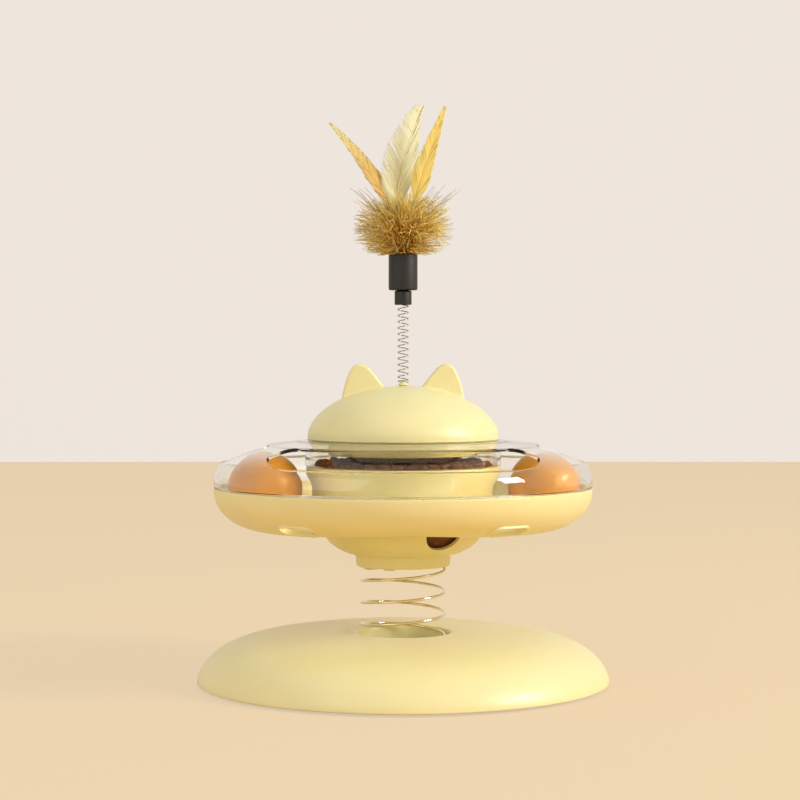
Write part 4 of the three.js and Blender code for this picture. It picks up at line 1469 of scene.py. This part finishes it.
    def window_cutter(self, middle: float) -> Piece:
        """A curved slab that cuts one paw window square through the cover's wall.

        Args:
            middle: The window's middle, in degrees.

        Returns:
            The cutter, with large round corners low on the side and small ones on the top.
        """
        edge = [point for point in self.cover_section()
                if point[1] > self.window_low and point[0] > self.window_inner]
        parts = self.window_parts
        path = resampled(edge, parts)
        length = sum(math.dist(a, b) for a, b in zip(edge, edge[1:]))
        corners: list[tuple[float, float, float]] = []
        for reach in (self.window_reach, -self.window_reach):
            for row, (radius, height) in zip(even_steps(parts), offset_outline(path, reach)):
                along = length * (1 - math.cos(math.pi * row)) / 2
                low_share = max(1 - along / self.window_low_round, 0.0)
                high_share = max(1 - (length - along) / self.window_corner, 0.0)
                half = self.window_half_angle
                half -= self.window_low_turn * (1 - math.sqrt(1 - low_share ** 2))
                half -= self.window_high_turn * (1 - math.sqrt(1 - high_share ** 2))
                for column in even_steps(parts):
                    angle = math.radians(middle + half * (2 * column - 1))
                    corners.append((radius * math.cos(angle), radius * math.sin(angle), height))
        return mesh_object("window", corners, slab_faces(parts))

    def make_cover(self) -> None:
        """Builds the clear cover with its neck, flange and three windows."""
        foot = self.seam + self.gap
        rebate = self.seam_radius - self.wall + self.tongue_width + self.gap
        rebate_top = foot + self.tongue_height
        flange_height = self.cover_flange[1]
        outer = self.cover_section()
        inner = offset_outline(outer, -self.cover_wall)[:-1]
        neck_outer = self.neck_inner + self.cover_wall
        cover = revolve("clear_upper_shell", [
            (rebate, foot),
            (self.seam_radius, foot),
            *outer,
            (self.neck_inner, flange_height),
            (self.neck_inner, self.rim_top + self.gap),
            (neck_outer, self.rim_top + self.gap),
            (neck_outer, flange_height - self.cover_wall),
            *[point for point in reversed(inner) if point[1] > rebate_top and point[0] > neck_outer + 1],
            (self.seam_radius - self.cover_wall, rebate_top),
            (rebate, rebate_top),
        ], segments=180, soft=0.5)
        for angle in self.window_angles:
            combine(cover, self.window_cutter(angle))
        soften_edges(cover, width_mm=0.3)
        weigh = cover.modifiers.new("weigh", "WEIGHTED_NORMAL")
        weigh.keep_sharp = True
        apply_modifiers(cover)
        self.palette.set_in(cover, self.palette.cover, Body.SAUCER, "clear_plastic", "clear_cover")

    def build(self) -> None:
        """Builds the saucer's shells and its treats."""
        self.make_tray()
        self.make_bowl()
        self.make_cover()
        Treats(self.palette, self).build()


@dataclass
class Treats:
    """The kibble in the bowl: a dark bed with a top layer of single biscuits."""

    palette: Palette
    saucer: Saucer
    clearance: float = 2.5
    bed_bottom: float = 73.6
    bed_drop: float = 3.4
    bed_parts: int = 8
    crown: float = 117.7
    edge: float = 115.8
    pitch: float = 6.6
    biscuit_radius: float = 3.5
    biscuit_half_height: float = 2.1
    lean: float = 0.45
    lumps: float = 0.05
    pocket: float = 1.0
    pocket_depth: float = 5.0
    seed: int = 7

    def heap(self, radius: float) -> float:
        """The height of the heaped kibble at a distance from the middle."""
        share = min(radius / self.saucer.rim_radius, 1.0)
        return self.crown + (self.edge - self.crown) * share * share

    def bed(self) -> Piece:
        """Builds the bed, which fills the bowl up to just under the biscuits.

        Returns:
            The bed.
        """
        saucer = self.saucer
        inner = [p for p in saucer.bowl_curve(self.clearance) if p[1] > self.bed_bottom]
        wall = saucer.bowl_wall_radius - self.clearance
        band = saucer.rim_radius - self.clearance - 2 * saucer.gap
        tops = [band * t for t in reversed(even_steps(self.bed_parts))]
        bed = revolve("kibble_bed", [
            (0.0, self.bed_bottom),
            (inner[-1][0], self.bed_bottom),
            *reversed(inner),
            (wall, saucer.bowl_shoulder + self.clearance),
            (wall, saucer.band_bottom - saucer.band_step),
            *[(radius, self.heap(radius) - self.bed_drop) for radius in tops],
        ], segments=96)
        pocket = saucer.hole_cutter("pocket", saucer.hole_radius + self.pocket, self.pocket_depth)
        combine(bed, moved(pocket, angle=saucer.hole_angle))
        return bed

    def biscuit(self, rng: random.Random, ball: bmesh.types.BMesh, place: Vector) -> list[Vector]:
        """Shapes one lumpy biscuit.

        Args:
            rng: The source of its shape.
            ball: A ball of radius 1.
            place: The biscuit's middle.

        Returns:
            Its corners, in the order of the ball's.
        """
        turn = Euler((
            rng.uniform(-self.lean, self.lean), rng.uniform(-self.lean, self.lean), rng.uniform(0, math.tau),
        )).to_matrix()
        size = Vector((
            self.biscuit_radius * rng.uniform(0.85, 1.15),
            self.biscuit_radius * rng.uniform(0.8, 1.05),
            self.biscuit_half_height * rng.uniform(0.85, 1.15),
        ))
        waves = []
        for _ in range(5):
            wave = Vector((rng.uniform(-4, 4), rng.uniform(-4, 4), rng.uniform(-4, 4)))
            waves.append((wave, rng.uniform(0, math.tau)))
        corners = []
        for spot in (vert.co for vert in ball.verts):
            flat = max(abs(spot.z), 1e-6) ** 0.7 * math.copysign(1.0, spot.z)
            lumps = 1 + self.lumps * sum(math.sin(wave.dot(spot) + shift) for wave, shift in waves)
            shaped = Vector((spot.x * size.x, spot.y * size.y, flat * size.z)) * lumps
            corners.append(place + turn @ shaped)
        return corners

    def biscuits(self) -> Piece:
        """Builds the top layer of biscuits in staggered rows, each moved a little.

        Returns:
            The biscuits.
        """
        rng = random.Random(self.seed)
        ball = bmesh.new()
        bmesh.ops.create_icosphere(ball, subdivisions=3, radius=1.0)
        corners, faces = [], []
        reach = self.saucer.rim_radius - self.clearance - self.biscuit_radius
        row_step = self.pitch * 0.87
        rows = int(reach / row_step)
        for row in range(-rows, rows + 1):
            offset = self.pitch / 2 if row % 2 else 0.0
            for column in range(-rows - 1, rows + 2):
                x = column * self.pitch + offset + rng.uniform(-1, 1)
                y = row * row_step + rng.uniform(-1, 1)
                if math.hypot(x, y) > reach:
                    continue
                height = self.heap(math.hypot(x, y)) - self.biscuit_half_height + rng.uniform(-1.1, 0.2)
                start = len(corners)
                corners += self.biscuit(rng, ball, Vector((x, y, height)))
                faces += [[start + vert.index for vert in face.verts] for face in ball.faces]
        ball.free()
        return mesh_object("kibble_biscuits", corners, faces, 60.0)

    def build(self) -> None:
        """Builds the bed and the biscuits, which together stand for the treats."""
        for piece in (self.bed(), self.biscuits()):
            self.palette.set_in(piece, self.palette.kibble, Body.SAUCER, "kibble", "treats")


@dataclass
class Balls:
    """The two hollow balls of the track, each of two halves with a fine joint line."""

    palette: Palette
    radius: float = 18.9
    groove_width: float = 0.5
    groove_depth: float = 0.22
    steps: int = 64

    def make(self, name: str, node: str, body: Body, lean: Euler) -> None:
        """Builds one ball in its solid's place.

        Args:
            name: The piece's name.
            node: The solid that it stands for.
            body: The body that carries it.
            lean: How the joint line is turned.
        """
        half_groove = self.groove_width / 2 / self.radius
        beside = (self.radius * math.cos(half_groove), self.radius * math.sin(half_groove))
        outline: list[Point] = []
        for angle in (math.pi * (t - 0.5) for t in even_steps(self.steps)):
            outline.append((max(self.radius * math.cos(angle), 0.0), self.radius * math.sin(angle)))
        middle = self.steps // 2
        groove = [(beside[0], -beside[1]), (self.radius - self.groove_depth, 0.0), beside]
        ball = revolve(name, outline[:middle] + groove + outline[middle + 1:], segments=96)
        centre = sum(box_of(node), Vector()) / 2 * MM
        ball.data.transform(Matrix.Translation(centre) @ lean.to_matrix().to_4x4())
        self.palette.set_in(ball, self.palette.balls, body, "orange_plastic", node)

    def build(self) -> None:
        """Builds both balls."""
        self.make("track_ball_right", "ball_right", Body.RIGHT_BALL, Euler((0.5, 0.9, 0.0)))
        self.make("track_ball_left", "ball_left", Body.LEFT_BALL, Euler((-0.7, -0.4, 0.0)))


@dataclass
class Lid:
    """The lid: a dome with two ears, its stepped plug ring, and the seat of the thin spring."""

    palette: Palette
    radius: float = 49.8
    bottom: float = 127.1
    rim_height: float = 2.1
    top: float = 155.0
    fullness: float = 1.8
    side_wall: float = 1.4
    top_wall: float = 2.2
    ear_depth: float = 9.0
    ear_outline: tuple[Point, ...] = (
        (8.0, 141.0), (8.4, 149.0), (9.8, 154.3), (12.0, 157.4), (14.8, 161.0), (17.8, 164.4),
        (20.8, 166.3), (23.6, 166.5), (26.2, 164.9), (28.2, 161.8), (29.9, 157.3), (31.2, 152.6),
        (32.0, 148.0), (32.4, 141.0),
    )
    ear_chamfer: float = 2.2
    voxel: float = 0.5
    rim_round: float = 0.7
    cutter_depth: float = 3.0
    ring_radius: float = 39.0
    ring_wall: float = 1.8
    ring_bottom: float = 119.1
    ring_flange_radius: float = 48.1
    ring_flange_bottom: float = 125.3
    ring_top: float = 129.6
    lug_angles: tuple[float, ...] = (105.0, 225.0, 345.0)
    lug_half_angle: float = 4.0
    lug_outer: float = 46.7
    lug_bottom: float = 120.3
    lug_height: float = 2.8
    plug_head_radius: float = 2.7
    plug_head_height: float = 1.0
    plug_stem_radius: float = 1.9
    plug_barb_width: float = 0.9
    plug_barb_height: float = 1.6
    plug_peg_radius: float = 1.7
    plug_peg_length: float = 1.6
    gap: float = 0.3

    def curve(self, side_inset: float = 0.0, top_inset: float = 0.0, steps: int = 40) -> list[Point]:
        """The dome's section from its rim to the top.

        Args:
            side_inset: How far inside the outer face it lies at the rim.
            top_inset: How far under the outer face it lies at the top.
            steps: How many parts it has.

        Returns:
            Points of radius and height.
        """
        shoulder = self.bottom + self.rim_height
        points = []
        for turn in (math.pi / 2 * t for t in even_steps(steps)):
            rise = (self.top - top_inset - shoulder) * math.sin(turn) ** (2 / self.fullness)
            points.append(((self.radius - side_inset) * math.cos(turn), shoulder + rise))
        points[-1] = (0.0, points[-1][1])
        return points

    def ear(self, side: int) -> Piece:
        """Builds one ear as a thick rounded plate.

        Args:
            side: 1 for the right ear and -1 for the left.

        Returns:
            The ear.
        """
        outline = [(side * x, z) for x, z in spline(self.ear_outline)]
        plate = prism("ear", outline, -self.ear_depth / 2, self.ear_depth / 2)
        soften_edges(moved(plate, angle=90, axis="X"), self.ear_chamfer, angle=60, segments=1)
        return plate

    def rim_cutter(self) -> Piece:
        """A ring that trims the dome's edge flat and rounds its outer corner.

        Returns:
            The ring.
        """
        inside = self.radius - self.side_wall - self.cutter_depth
        outside, beyond = self.radius + 0.05, self.radius + 5
        below, above = self.bottom - 2 * self.cutter_depth, self.bottom + self.rim_round
        corner = rounded_corner((self.radius - self.rim_round, self.bottom), (outside, self.bottom),
                                (outside, above))
        return revolve("rim_cutter", [
            (inside, below), (beyond, below), (beyond, above), *reversed(corner), (inside, self.bottom),
        ])

    def make_dome(self) -> None:
        """Builds the dome with its ears in one moulding, with soft inside corners."""
        rim = self.radius - self.side_wall
        below = self.bottom - self.cutter_depth
        dome = revolve("lid_shell", [(0.0, below), (self.radius, below), *self.curve()])
        for side in (1, -1):
            combine(dome, self.ear(side), "UNION")
        section = self.curve(self.side_wall, self.top_wall)
        combine(dome, revolve("cavity", [(0.0, below - 1), (rim, below - 1), *section]))
        bore = circle(self.plug_stem_radius + self.gap, 32)
        combine(dome, prism("plug_bore", bore, self.bottom, self.top + 2))
        remesh = dome.modifiers.new("skin", "REMESH")
        remesh.mode = "VOXEL"
        remesh.voxel_size = self.voxel * MM
        smooth = dome.modifiers.new("soften", "SMOOTH")
        smooth.factor = 0.5
        smooth.iterations = 4
        apply_modifiers(dome)
        combine(dome, self.rim_cutter())
        smooth_up_to(dome, 50)
        self.palette.set_in(dome, self.palette.shell, Body.LID, "yellow_plastic", "lid_dome")

    def make_ring(self) -> None:
        """Builds the stepped plug ring with its lugs."""
        ring_inner = self.ring_radius - self.ring_wall
        flange_inner = self.ring_flange_radius - self.ring_wall
        ring = revolve("lid_plug", stepped(
            (ring_inner, self.ring_bottom), self.ring_radius, self.ring_flange_bottom,
            self.ring_flange_radius, self.ring_top,
            flange_inner, self.ring_flange_bottom + self.ring_wall, ring_inner,
        ), segments=144, soft=0.5)
        lug_top = self.lug_bottom + self.lug_height
        for angle in self.lug_angles:
            angles = (angle, self.lug_half_angle)
            lug = sector("lug", ring_inner + 1, self.lug_outer, angles, self.lug_bottom, lug_top)
            soften_edges(lug, width_mm=0.5, angle=60)
            combine(ring, lug, "UNION")
        self.palette.set_in(ring, self.palette.shell, Body.LID, "yellow_plastic", "lid_plug_ring")

    def make_plug(self) -> None:
        """Builds the plug on the lid's top that carries the thin spring."""
        bottom = box_of("teaser_plug")[0].z
        barb_top = bottom + self.plug_barb_height
        head = self.top + self.gap
        head_top = head + self.plug_head_height
        stem = self.plug_stem_radius
        plug = revolve("spring_plug", [(0.0, bottom), (stem, bottom), *stepped(
            (stem + self.plug_barb_width, barb_top), stem, head, self.plug_head_radius, head_top,
            self.plug_peg_radius, head_top + self.plug_peg_length, 0.0,
        )], segments=64, soft=0.35)
        self.palette.set_in(plug, self.palette.shell, Body.LID, "yellow_plastic", "teaser_plug")

    def build(self) -> None:
        """Builds the lid's pieces and dresses the washer under the dome."""
        self.make_dome()
        self.make_ring()
        self.make_plug()
        self.palette.dress_solids({"teaser_plug_washer": self.palette.screw})


class StrandMesh:
    """Collects many thin closed strands into one mesh, with their own shade and their place along."""

    def __init__(self) -> None:
        """Starts with no strands."""
        self.corners: list[Vector] = []
        self.faces: list[tuple[int, ...]] = []
        self.values: dict[str, list[float]] = {"along": [], "shade": []}

    def add(
        self, path: Sequence[Vector], radii: Sequence[float], shade: float,
        flat: float = 1.0, sides: int = 3, ends: Point = (0.0, 1.0),
    ) -> None:
        """Adds one strand.

        Args:
            path: Its centre points, in millimetres.
            radii: Its radius at each point.
            shade: Its own shade, from 0 to 1.
            flat: Its thickness across Y as a share of its width.
            sides: How many sides it has.
            ends: The place along at its root and at its tip, from 0 to 1.
        """
        last = len(path) - 1
        self.faces += tube_faces(len(self.corners), last, sides)
        for i, point in enumerate(path):
            along = path[min(i + 1, last)] - path[max(i - 1, 0)]
            along = along.normalized() if along.length > 1e-9 else Vector((0, 0, 1))
            upward = Vector((1, 0, 0)) if abs(along.y) > 0.9 else Vector((0, 1, 0))
            sideways = along.cross(upward).normalized()
            upward = sideways.cross(along)
            for side in range(sides):
                angle = math.tau * side / sides
                offset = sideways * math.cos(angle) + upward * math.sin(angle) * flat
                self.corners.append(point + offset * radii[i])
            self.values["along"] += [ends[0] + (ends[1] - ends[0]) * i / last] * sides
            self.values["shade"] += [shade] * sides

    def make(self, name: str) -> Piece:
        """Makes the piece with the values that the material reads.

        Args:
            name: The piece's name.

        Returns:
            The piece.
        """
        mesh = bpy.data.meshes.new(name)
        mesh.from_pydata([corner * MM for corner in self.corners], [], self.faces)
        for label, values in self.values.items():
            mesh.attributes.new(label, "FLOAT", "POINT").data.foreach_set("value", values)
        mesh.shade_smooth()
        return link_object(name, mesh)


class Vane(Enum):
    """How a feather's tip ends: each one's start of its taper, its depth and its bend."""

    POINTED = (0.25, 0.9, 1.3)
    CUT = (0.5, 0.7, 1.4)


@dataclass
class Feather:
    """A dyed feather: a bent quill with single barbs on both sides."""

    name: str
    node: str
    finish: Finish
    slot: str
    lean: float
    pitch: float
    length: float
    left_width: float
    right_width: float
    tip: Vane = Vane.POINTED
    split_left: bool = False
    ragged: float = 0.1
    shift: float = 0.0
    sweep: float = 0.0
    twist: float = 20.0
    bend: float = 2.0
    start: float = 7.5
    vane_start: float = 12.0
    quill: float = 0.45
    quill_parts: int = 24
    quill_short: float = 3.0
    barbs: int = 170
    barb_angle: float = 24.0
    split_angle: float = 33.0
    barb_parts: int = 6
    barb_cover: float = 0.8
    split_cover: float = 0.62
    barb_flat: float = 0.12
    bow: float = 0.12
    curl: float = 0.03
    ruffle: float = 0.25
    bare_tip: float = 1.5
    seed: int = 1

    def middle(self, u: float) -> Vector:
        """The quill's line at a distance from the hub: it bends back and to one side."""
        share = u / self.length
        return Vector((self.shift + self.sweep * share * share, self.bend * share * share, u))

    def outline(self, u: float) -> float:
        """The vane's width, which grows from its foot and then tapers to its tip.

        Args:
            u: The distance from the hub.

        Returns:
            The width as a share of the full one.
        """
        share = min(max((u - self.vane_start) / (self.length - self.vane_start), 0.0), 1.0)
        rise = 0.55 + 0.45 * math.sin(min(share / 0.4, 1.0) * math.pi / 2)
        start, depth, power = self.tip.value
        return rise * (1 - depth * max((share - start) / (1 - start), 0.0) ** power)

    def reach(self, u: float, width: float, angle: float) -> float:
        """How long a barb is that starts at a place on the quill and ends on the vane's edge.

        Args:
            u: Where it starts.
            width: The vane's full width on its side.
            angle: Its angle to the quill, in radians.

        Returns:
            The barb's length.
        """
        short, long = 0.0, (self.length - u) / math.cos(angle)
        for _ in range(24):
            half = (short + long) / 2
            if half * math.sin(angle) < width * self.outline(u + half * math.cos(angle)):
                short = half
            else:
                long = half
        return short

    def barb(self, rng: random.Random, mesh: StrandMesh, u: float, side: int, clump: float) -> None:
        """Adds one barb as a thin flat strand.

        Args:
            rng: The source of its shape.
            mesh: The mesh that takes it.
            u: Where it starts on the quill.
            side: 1 for the right vane and -1 for the left.
            clump: How the barbs near it lean, from -1 to 1.
        """
        split = self.split_left and side < 0
        spacing = (self.length - self.vane_start) / self.barbs
        spread = self.split_angle + 2.5 * clump if split else self.barb_angle + clump
        angle = math.radians(spread + rng.uniform(-1, 1))
        width = self.left_width if side < 0 else self.right_width
        reach = self.reach(u, width, angle) * (1 - self.ragged * rng.random())
        shares = even_steps(self.barb_parts)
        path = []
        for t in shares:
            bow = angle * (1 + self.bow * (1 - t))
            curl = self.curl * reach * t * t + self.ruffle * clump * t
            along = Vector((side * reach * t * math.sin(bow), curl, reach * t * math.cos(bow)))
            path.append(self.middle(u) + along)
        thickness = spacing * (self.split_cover if split else self.barb_cover)
        radii = [thickness * (1 - 0.6 * t ** 2) for t in shares]
        ends = (path[0].z / self.length, path[-1].z / self.length)
        mesh.add(path, radii, rng.random(), flat=self.barb_flat, sides=4, ends=ends)

    def build(self, palette: Palette, hub: float) -> None:
        """Builds the feather and sets it in the tuft.

        Args:
            palette: The palette that makes the materials.
            hub: The height of the tuft's middle.
        """
        rng = random.Random(self.seed)
        mesh = StrandMesh()
        length = self.length - self.quill_short - self.start
        shares = even_steps(self.quill_parts)
        path = [self.middle(self.start + length * share) for share in shares]
        mesh.add(path, [self.quill * (1 - 0.8 * share) for share in shares], 0.9, sides=6, ends=(0.1, 0.9))
        vane = self.length - self.vane_start - self.bare_tip
        for side in (-1, 1):
            clump, left_in_clump = 0.0, 0
            for i in range(self.barbs):
                if left_in_clump == 0:
                    left_in_clump = rng.randint(5, 11)
                    clump = rng.uniform(-1.0, 1.0)
                left_in_clump -= 1
                self.barb(rng, mesh, self.vane_start + vane * i / self.barbs, side, clump)
        feather = mesh.make(self.name)
        for angle, axis in ((self.twist, "Z"), (self.pitch, "X"), (self.lean, "Y")):
            moved(feather, angle=angle, axis=axis)
        palette.set_in(moved(feather, (0, 0, hub)), self.finish, Body.TEASER_HEAD, self.slot, self.node)


@dataclass
class Teaser:
    """The thin spring on the lid with its sleeve, cup, tinsel tuft and three feathers."""

    palette: Palette
    coil: Coil = field(default_factory=lambda: Coil(
        radius=2.7, wire=0.27, pitch=3.2, closed_pitch=1.2, foot_turns=1.0, head_turns=1.0,
        foot=156.9, top=202.3, steps_per_turn=28, sides=8,
    ))
    sleeve_radius: float = 4.45
    sleeve_bottom: float = 197.3
    sleeve_top: float = 204.6
    sleeve_bore: float = 3.4
    cup_radius: float = 7.55
    cup_bottom: float = 204.9
    cup_top: float = 223.4
    cup_wall: float = 1.4
    cup_floor: float = 2.4
    neck_radius: float = 3.0
    neck_height: float = 2.8
    gap: float = 0.3
    hub: float = 238.6
    strands: int = 1700
    strays: int = 26
    spread: float = 26.5
    rise: float = 17.5
    drop: float = 16.4
    lowest_sine: float = -0.85
    shortening: float = 0.42
    root_depth: float = 3.0
    root_spread: float = 4.5
    upper_knee: float = 5.0
    lower_knee: float = 13.0
    flecks: int = 420
    fleck_length: float = 5.0
    strand_radius: float = 0.21
    strand_parts: int = 9
    sag: float = 1.8
    seed: int = 23

    def make_wire(self) -> None:
        """Builds the thin wire in two stretches, one for each hinge."""
        first, second = (joint_values(joint, "pos_m")[2] for joint in ("teaser_sway_x", "teaser_sway_y"))
        cut = (first + second) / 2
        lower, upper = self.coil.stretches(self.palette, self.palette.thin_wire, (cut,),
                                           "teaser_wire_lower", "teaser_wire_upper")
        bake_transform(lower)
        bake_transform(upper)
        for wire in (lower, upper):
            stand_for(wire, "spring_steel", "teaser_spring")

    def make_holder(self) -> None:
        """Builds the black sleeve and the cup above it."""
        bore_top = self.coil.top + self.coil.wire + self.gap
        sleeve = revolve("tuft_sleeve", stepped(
            (0.0, bore_top), self.sleeve_bore, self.sleeve_bottom, self.sleeve_radius, self.sleeve_top,
            self.neck_radius, self.sleeve_top + self.neck_height, 0.0,
        ), segments=64, soft=0.9)
        neck, floor = self.neck_radius + self.gap, self.cup_bottom + self.cup_floor
        inner = self.cup_radius - self.cup_wall
        cup = revolve("tuft_holder_cup", stepped(
            (neck, self.cup_bottom), self.cup_radius, self.cup_top, inner, floor, neck,
        ), segments=72, soft=0.9)
        for piece, node in ((sleeve, "tuft_ferrule"), (cup, "tuft_cup")):
            self.palette.set_in(piece, self.palette.holder, Body.TEASER_HEAD, "black_plastic", node)

    def strand(self, rng: random.Random, mesh: StrandMesh, stray: bool) -> None:
        """Adds one bristle that starts in the cup and spreads.

        Args:
            rng: The source of its shape.
            mesh: The mesh that takes it.
            stray: True for one of the few long loose ones.
        """
        azimuth = rng.uniform(0, math.tau)
        sine = rng.uniform(self.lowest_sine, 1.0)
        # The tuft's outline is round above its middle and squarer below it.
        power = 2.0 if sine > 0 else 3.0
        length = 1 - self.shortening * rng.random() ** 2.0
        if stray:
            azimuth = rng.choice((0.0, math.pi)) + rng.uniform(-0.6, 0.6)
            sine = rng.uniform(0.45, 0.8)
            length = rng.uniform(1.1, 1.4)
        vertical, lift = (self.rise, self.upper_knee) if sine > 0 else (self.drop, self.lower_knee)
        flat = math.sqrt(1 - sine * sine)
        reach = length * ((flat / self.spread) ** power + (abs(sine) / vertical) ** power) ** (-1 / power)
        outward = Vector((math.cos(azimuth), math.sin(azimuth), 0.0))
        tip = outward * flat * reach + Vector((0, 0, self.hub + sine * reach))
        root = outward * rng.uniform(0.0, self.root_spread)
        root.z = self.cup_top - self.root_depth
        knee = root * 1.25
        knee.z = self.hub - self.root_depth + lift * sine
        lowest = self.cup_top + rng.uniform(0.3, 1.8)
        waves, phase, size = rng.uniform(1.5, 3.6), rng.uniform(0, math.tau), rng.uniform(0.2, 1.2)
        shares = even_steps(self.strand_parts)
        path = []
        for t in shares:
            point = root.lerp(knee, t).lerp(knee.lerp(tip, t), t)
            turn = waves * t * math.pi + phase
            point += size * t * Vector((math.sin(turn), math.cos(1.3 * turn), math.sin(0.8 * turn + phase)))
            if t > 0.4:
                beyond = math.hypot(point.x, point.y) - self.cup_radius - 1.0
                point.z = max(point.z, lowest - self.sag * min(max(beyond / 6.0, 0.0), 1.0))
            path.append(point)
        radii = [self.strand_radius * (1 - 0.45 * t) for t in shares]
        mesh.add(path, radii, 0.0 if stray else rng.random())

    def fleck(self, rng: random.Random, mesh: StrandMesh) -> None:
        """Adds one short bristle that lies across the others near the tuft's surface.

        Args:
            rng: The source of its shape.
            mesh: The mesh that takes it.
        """
        outward = Vector((rng.gauss(0, 1), rng.gauss(0, 1), rng.gauss(0, 0.8))).normalized()
        across = Vector((rng.gauss(0, 1), rng.gauss(0, 1), rng.gauss(0, 1))).normalized()
        share = rng.uniform(0.55, 0.8)
        vertical = self.rise if outward.z > 0 else self.drop * 0.8
        start = Vector((outward.x * self.spread, outward.y * self.spread, outward.z * vertical)) * share
        start.z += self.hub
        length = self.fleck_length * rng.uniform(0.6, 1.2)
        path = [start + (outward + across) * length * part / 3 for part in range(4)]
        for point in path:
            point.z = max(point.z, self.cup_top + 0.5)
        # A fleck takes a high shade and the pale end of the ramp: painted highlights, short glints on the
        # tuft's surface.
        mesh.add(path, [self.strand_radius * 1.1] * 4, rng.uniform(0.6, 1.0), ends=(0.7, 1.0))

    def make_tuft(self) -> None:
        """Builds the tinsel tuft: stiff bristles on a bound root, with a few long loose ones."""
        rng = random.Random(self.seed)
        mesh = StrandMesh()
        for i in range(self.strands + self.strays):
            self.strand(rng, mesh, i >= self.strands)
        for _ in range(self.flecks):
            self.fleck(rng, mesh)
        # The bound core takes the ramp's root end, the painted shade of the tuft's depth.
        bound = self.cup_radius - self.cup_wall - self.gap
        bottom = self.cup_bottom + self.cup_floor + self.gap
        heights = (bottom, self.cup_top - 0.6, self.cup_top + 0.2, self.hub - 6.0)
        core = [Vector((0, 0, height)) for height in heights]
        mesh.add(core, [bound, bound, bound * 0.6, bound * 0.3], 0.3, sides=24, ends=(0.0, 0.1))
        tuft = mesh.make("tinsel_tuft")
        self.palette.set_in(tuft, self.palette.tinsel, Body.TEASER_HEAD, "tinsel", "tuft")

    def make_feathers(self) -> None:
        """Builds the three feathers."""
        palette = self.palette
        feathers = (
            Feather("plume_left", "feather_left", palette.gold_feather, "gold_feather",
                    lean=-29.5, pitch=4, length=65.6, left_width=5.6, right_width=5.6,
                    twist=38.0, sweep=-8.2, seed=3),
            Feather("plume_middle", "feather_middle", palette.pale_feather, "pale_feather",
                    lean=3.0, pitch=-7, length=65.6, left_width=9.9, right_width=11.8,
                    tip=Vane.CUT, split_left=True, vane_start=5.0, shift=-4.6, sweep=13.2, seed=5),
            Feather("plume_right", "feather_right", palette.yellow_feather, "gold_feather",
                    lean=15.5, pitch=6, length=66.0, left_width=5.9, right_width=5.5,
                    shift=2.7, sweep=3.2, seed=9),
        )
        for feather in feathers:
            feather.build(palette, self.hub)

    def build(self) -> None:
        """Builds the teaser from its wire to its feathers."""
        self.make_wire()
        self.make_holder()
        self.make_tuft()
        self.make_feathers()


# Studio


@dataclass
class Studio:
    """Plain floor and wall, soft lamps, and a camera at the photograph's angle."""

    palette: Palette
    distance: float = 1080.0
    camera_height: float = 170.6
    camera_x: float = -1.6
    lens: float = 93.1
    horizon_drop: float = 1.218
    wall_distance: float = 2250.0
    size: float = 9000.0

    def make_room(self) -> None:
        """Builds the floor and the wall."""
        half, back = self.size / 2, self.wall_distance
        low_edge = [(half, back, 0), (-half, back, 0)]
        floor = mesh_object("studio_floor", [(-half, -half, 0), (half, -half, 0), *low_edge], [(0, 1, 2, 3)])
        wall = mesh_object("studio_wall", [*reversed(low_edge), (half, back, half), (-half, back, half)],
                           [(0, 1, 2, 3)])
        self.palette.dress(StagePaint("matt_floor_paint", "E8BC76", "EFE0C4", 0.7), floor)
        self.palette.dress(StagePaint("matt_wall_paint", "F0E7DF", "F0E8E1", 0.9), wall)

    def add_lamp(self, name: str, place: Vector, power: float, size: float, colour: str) -> None:
        """Adds one square soft lamp that looks at the toy.

        Args:
            name: The lamp's name.
            place: Where it is, in metres.
            power: Its power in watts.
            size: The side of its square, in metres.
            colour: Its colour.
        """
        lamp = bpy.data.lights.new(name, "AREA")
        lamp.energy = power
        lamp.size = size
        lamp.color = linear(colour)[:3]
        holder = link_object(name, lamp)
        holder.location = place
        holder.rotation_euler = (Vector((0, 0, 0.12)) - place).to_track_quat("-Z", "Y").to_euler()

    def light(self) -> None:
        """Sets a large key lamp at the front right, a weak fill and an even world."""
        self.add_lamp("key_lamp", Vector((1.71, -0.59, 0.96)), 26.0, 0.5, "FFFEFA")
        self.add_lamp("fill_lamp", Vector((-1.3, -1.4, 0.9)), 6.0, 1.4, "FFFFFF")
        world = bpy.data.worlds.new("studio_air")
        world.use_nodes = True
        world.node_tree.nodes.clear()
        air = add_node(world.node_tree, "Background", {"Color": linear("FFFEFC"), "Strength": 0.7})
        add_node(world.node_tree, "OutputWorld", {"Surface": air.outputs["Background"]})
        bpy.context.scene.world = world

    def place_camera(self) -> None:
        """Sets the camera, level with the lid and looking slightly down."""
        camera = bpy.data.cameras.new("view")
        camera.lens = self.lens
        camera.sensor_width = 36.0
        camera.clip_end = 50.0
        holder = link_object("view", camera)
        holder.location = (self.camera_x * MM, -self.distance * MM, self.camera_height * MM)
        holder.rotation_euler = (math.radians(90 - self.horizon_drop), 0, 0)
        bpy.context.scene.camera = holder

    def build(self) -> None:
        """Builds the room, the lamps and the camera."""
        self.make_room()
        self.light()
        self.place_camera()
        bpy.context.scene.view_settings.view_transform = "Standard"


def main() -> None:
    """Builds the toy and its studio in order."""
    logging.basicConfig(level=logging.INFO, format="%(name)s: %(message)s")
    palette = Palette()
    for assembly in (Studio, Base, MainSpring, Saucer, Balls, Lid, Teaser):
        assembly(palette).build()


if __name__ == "__main__":
    main()
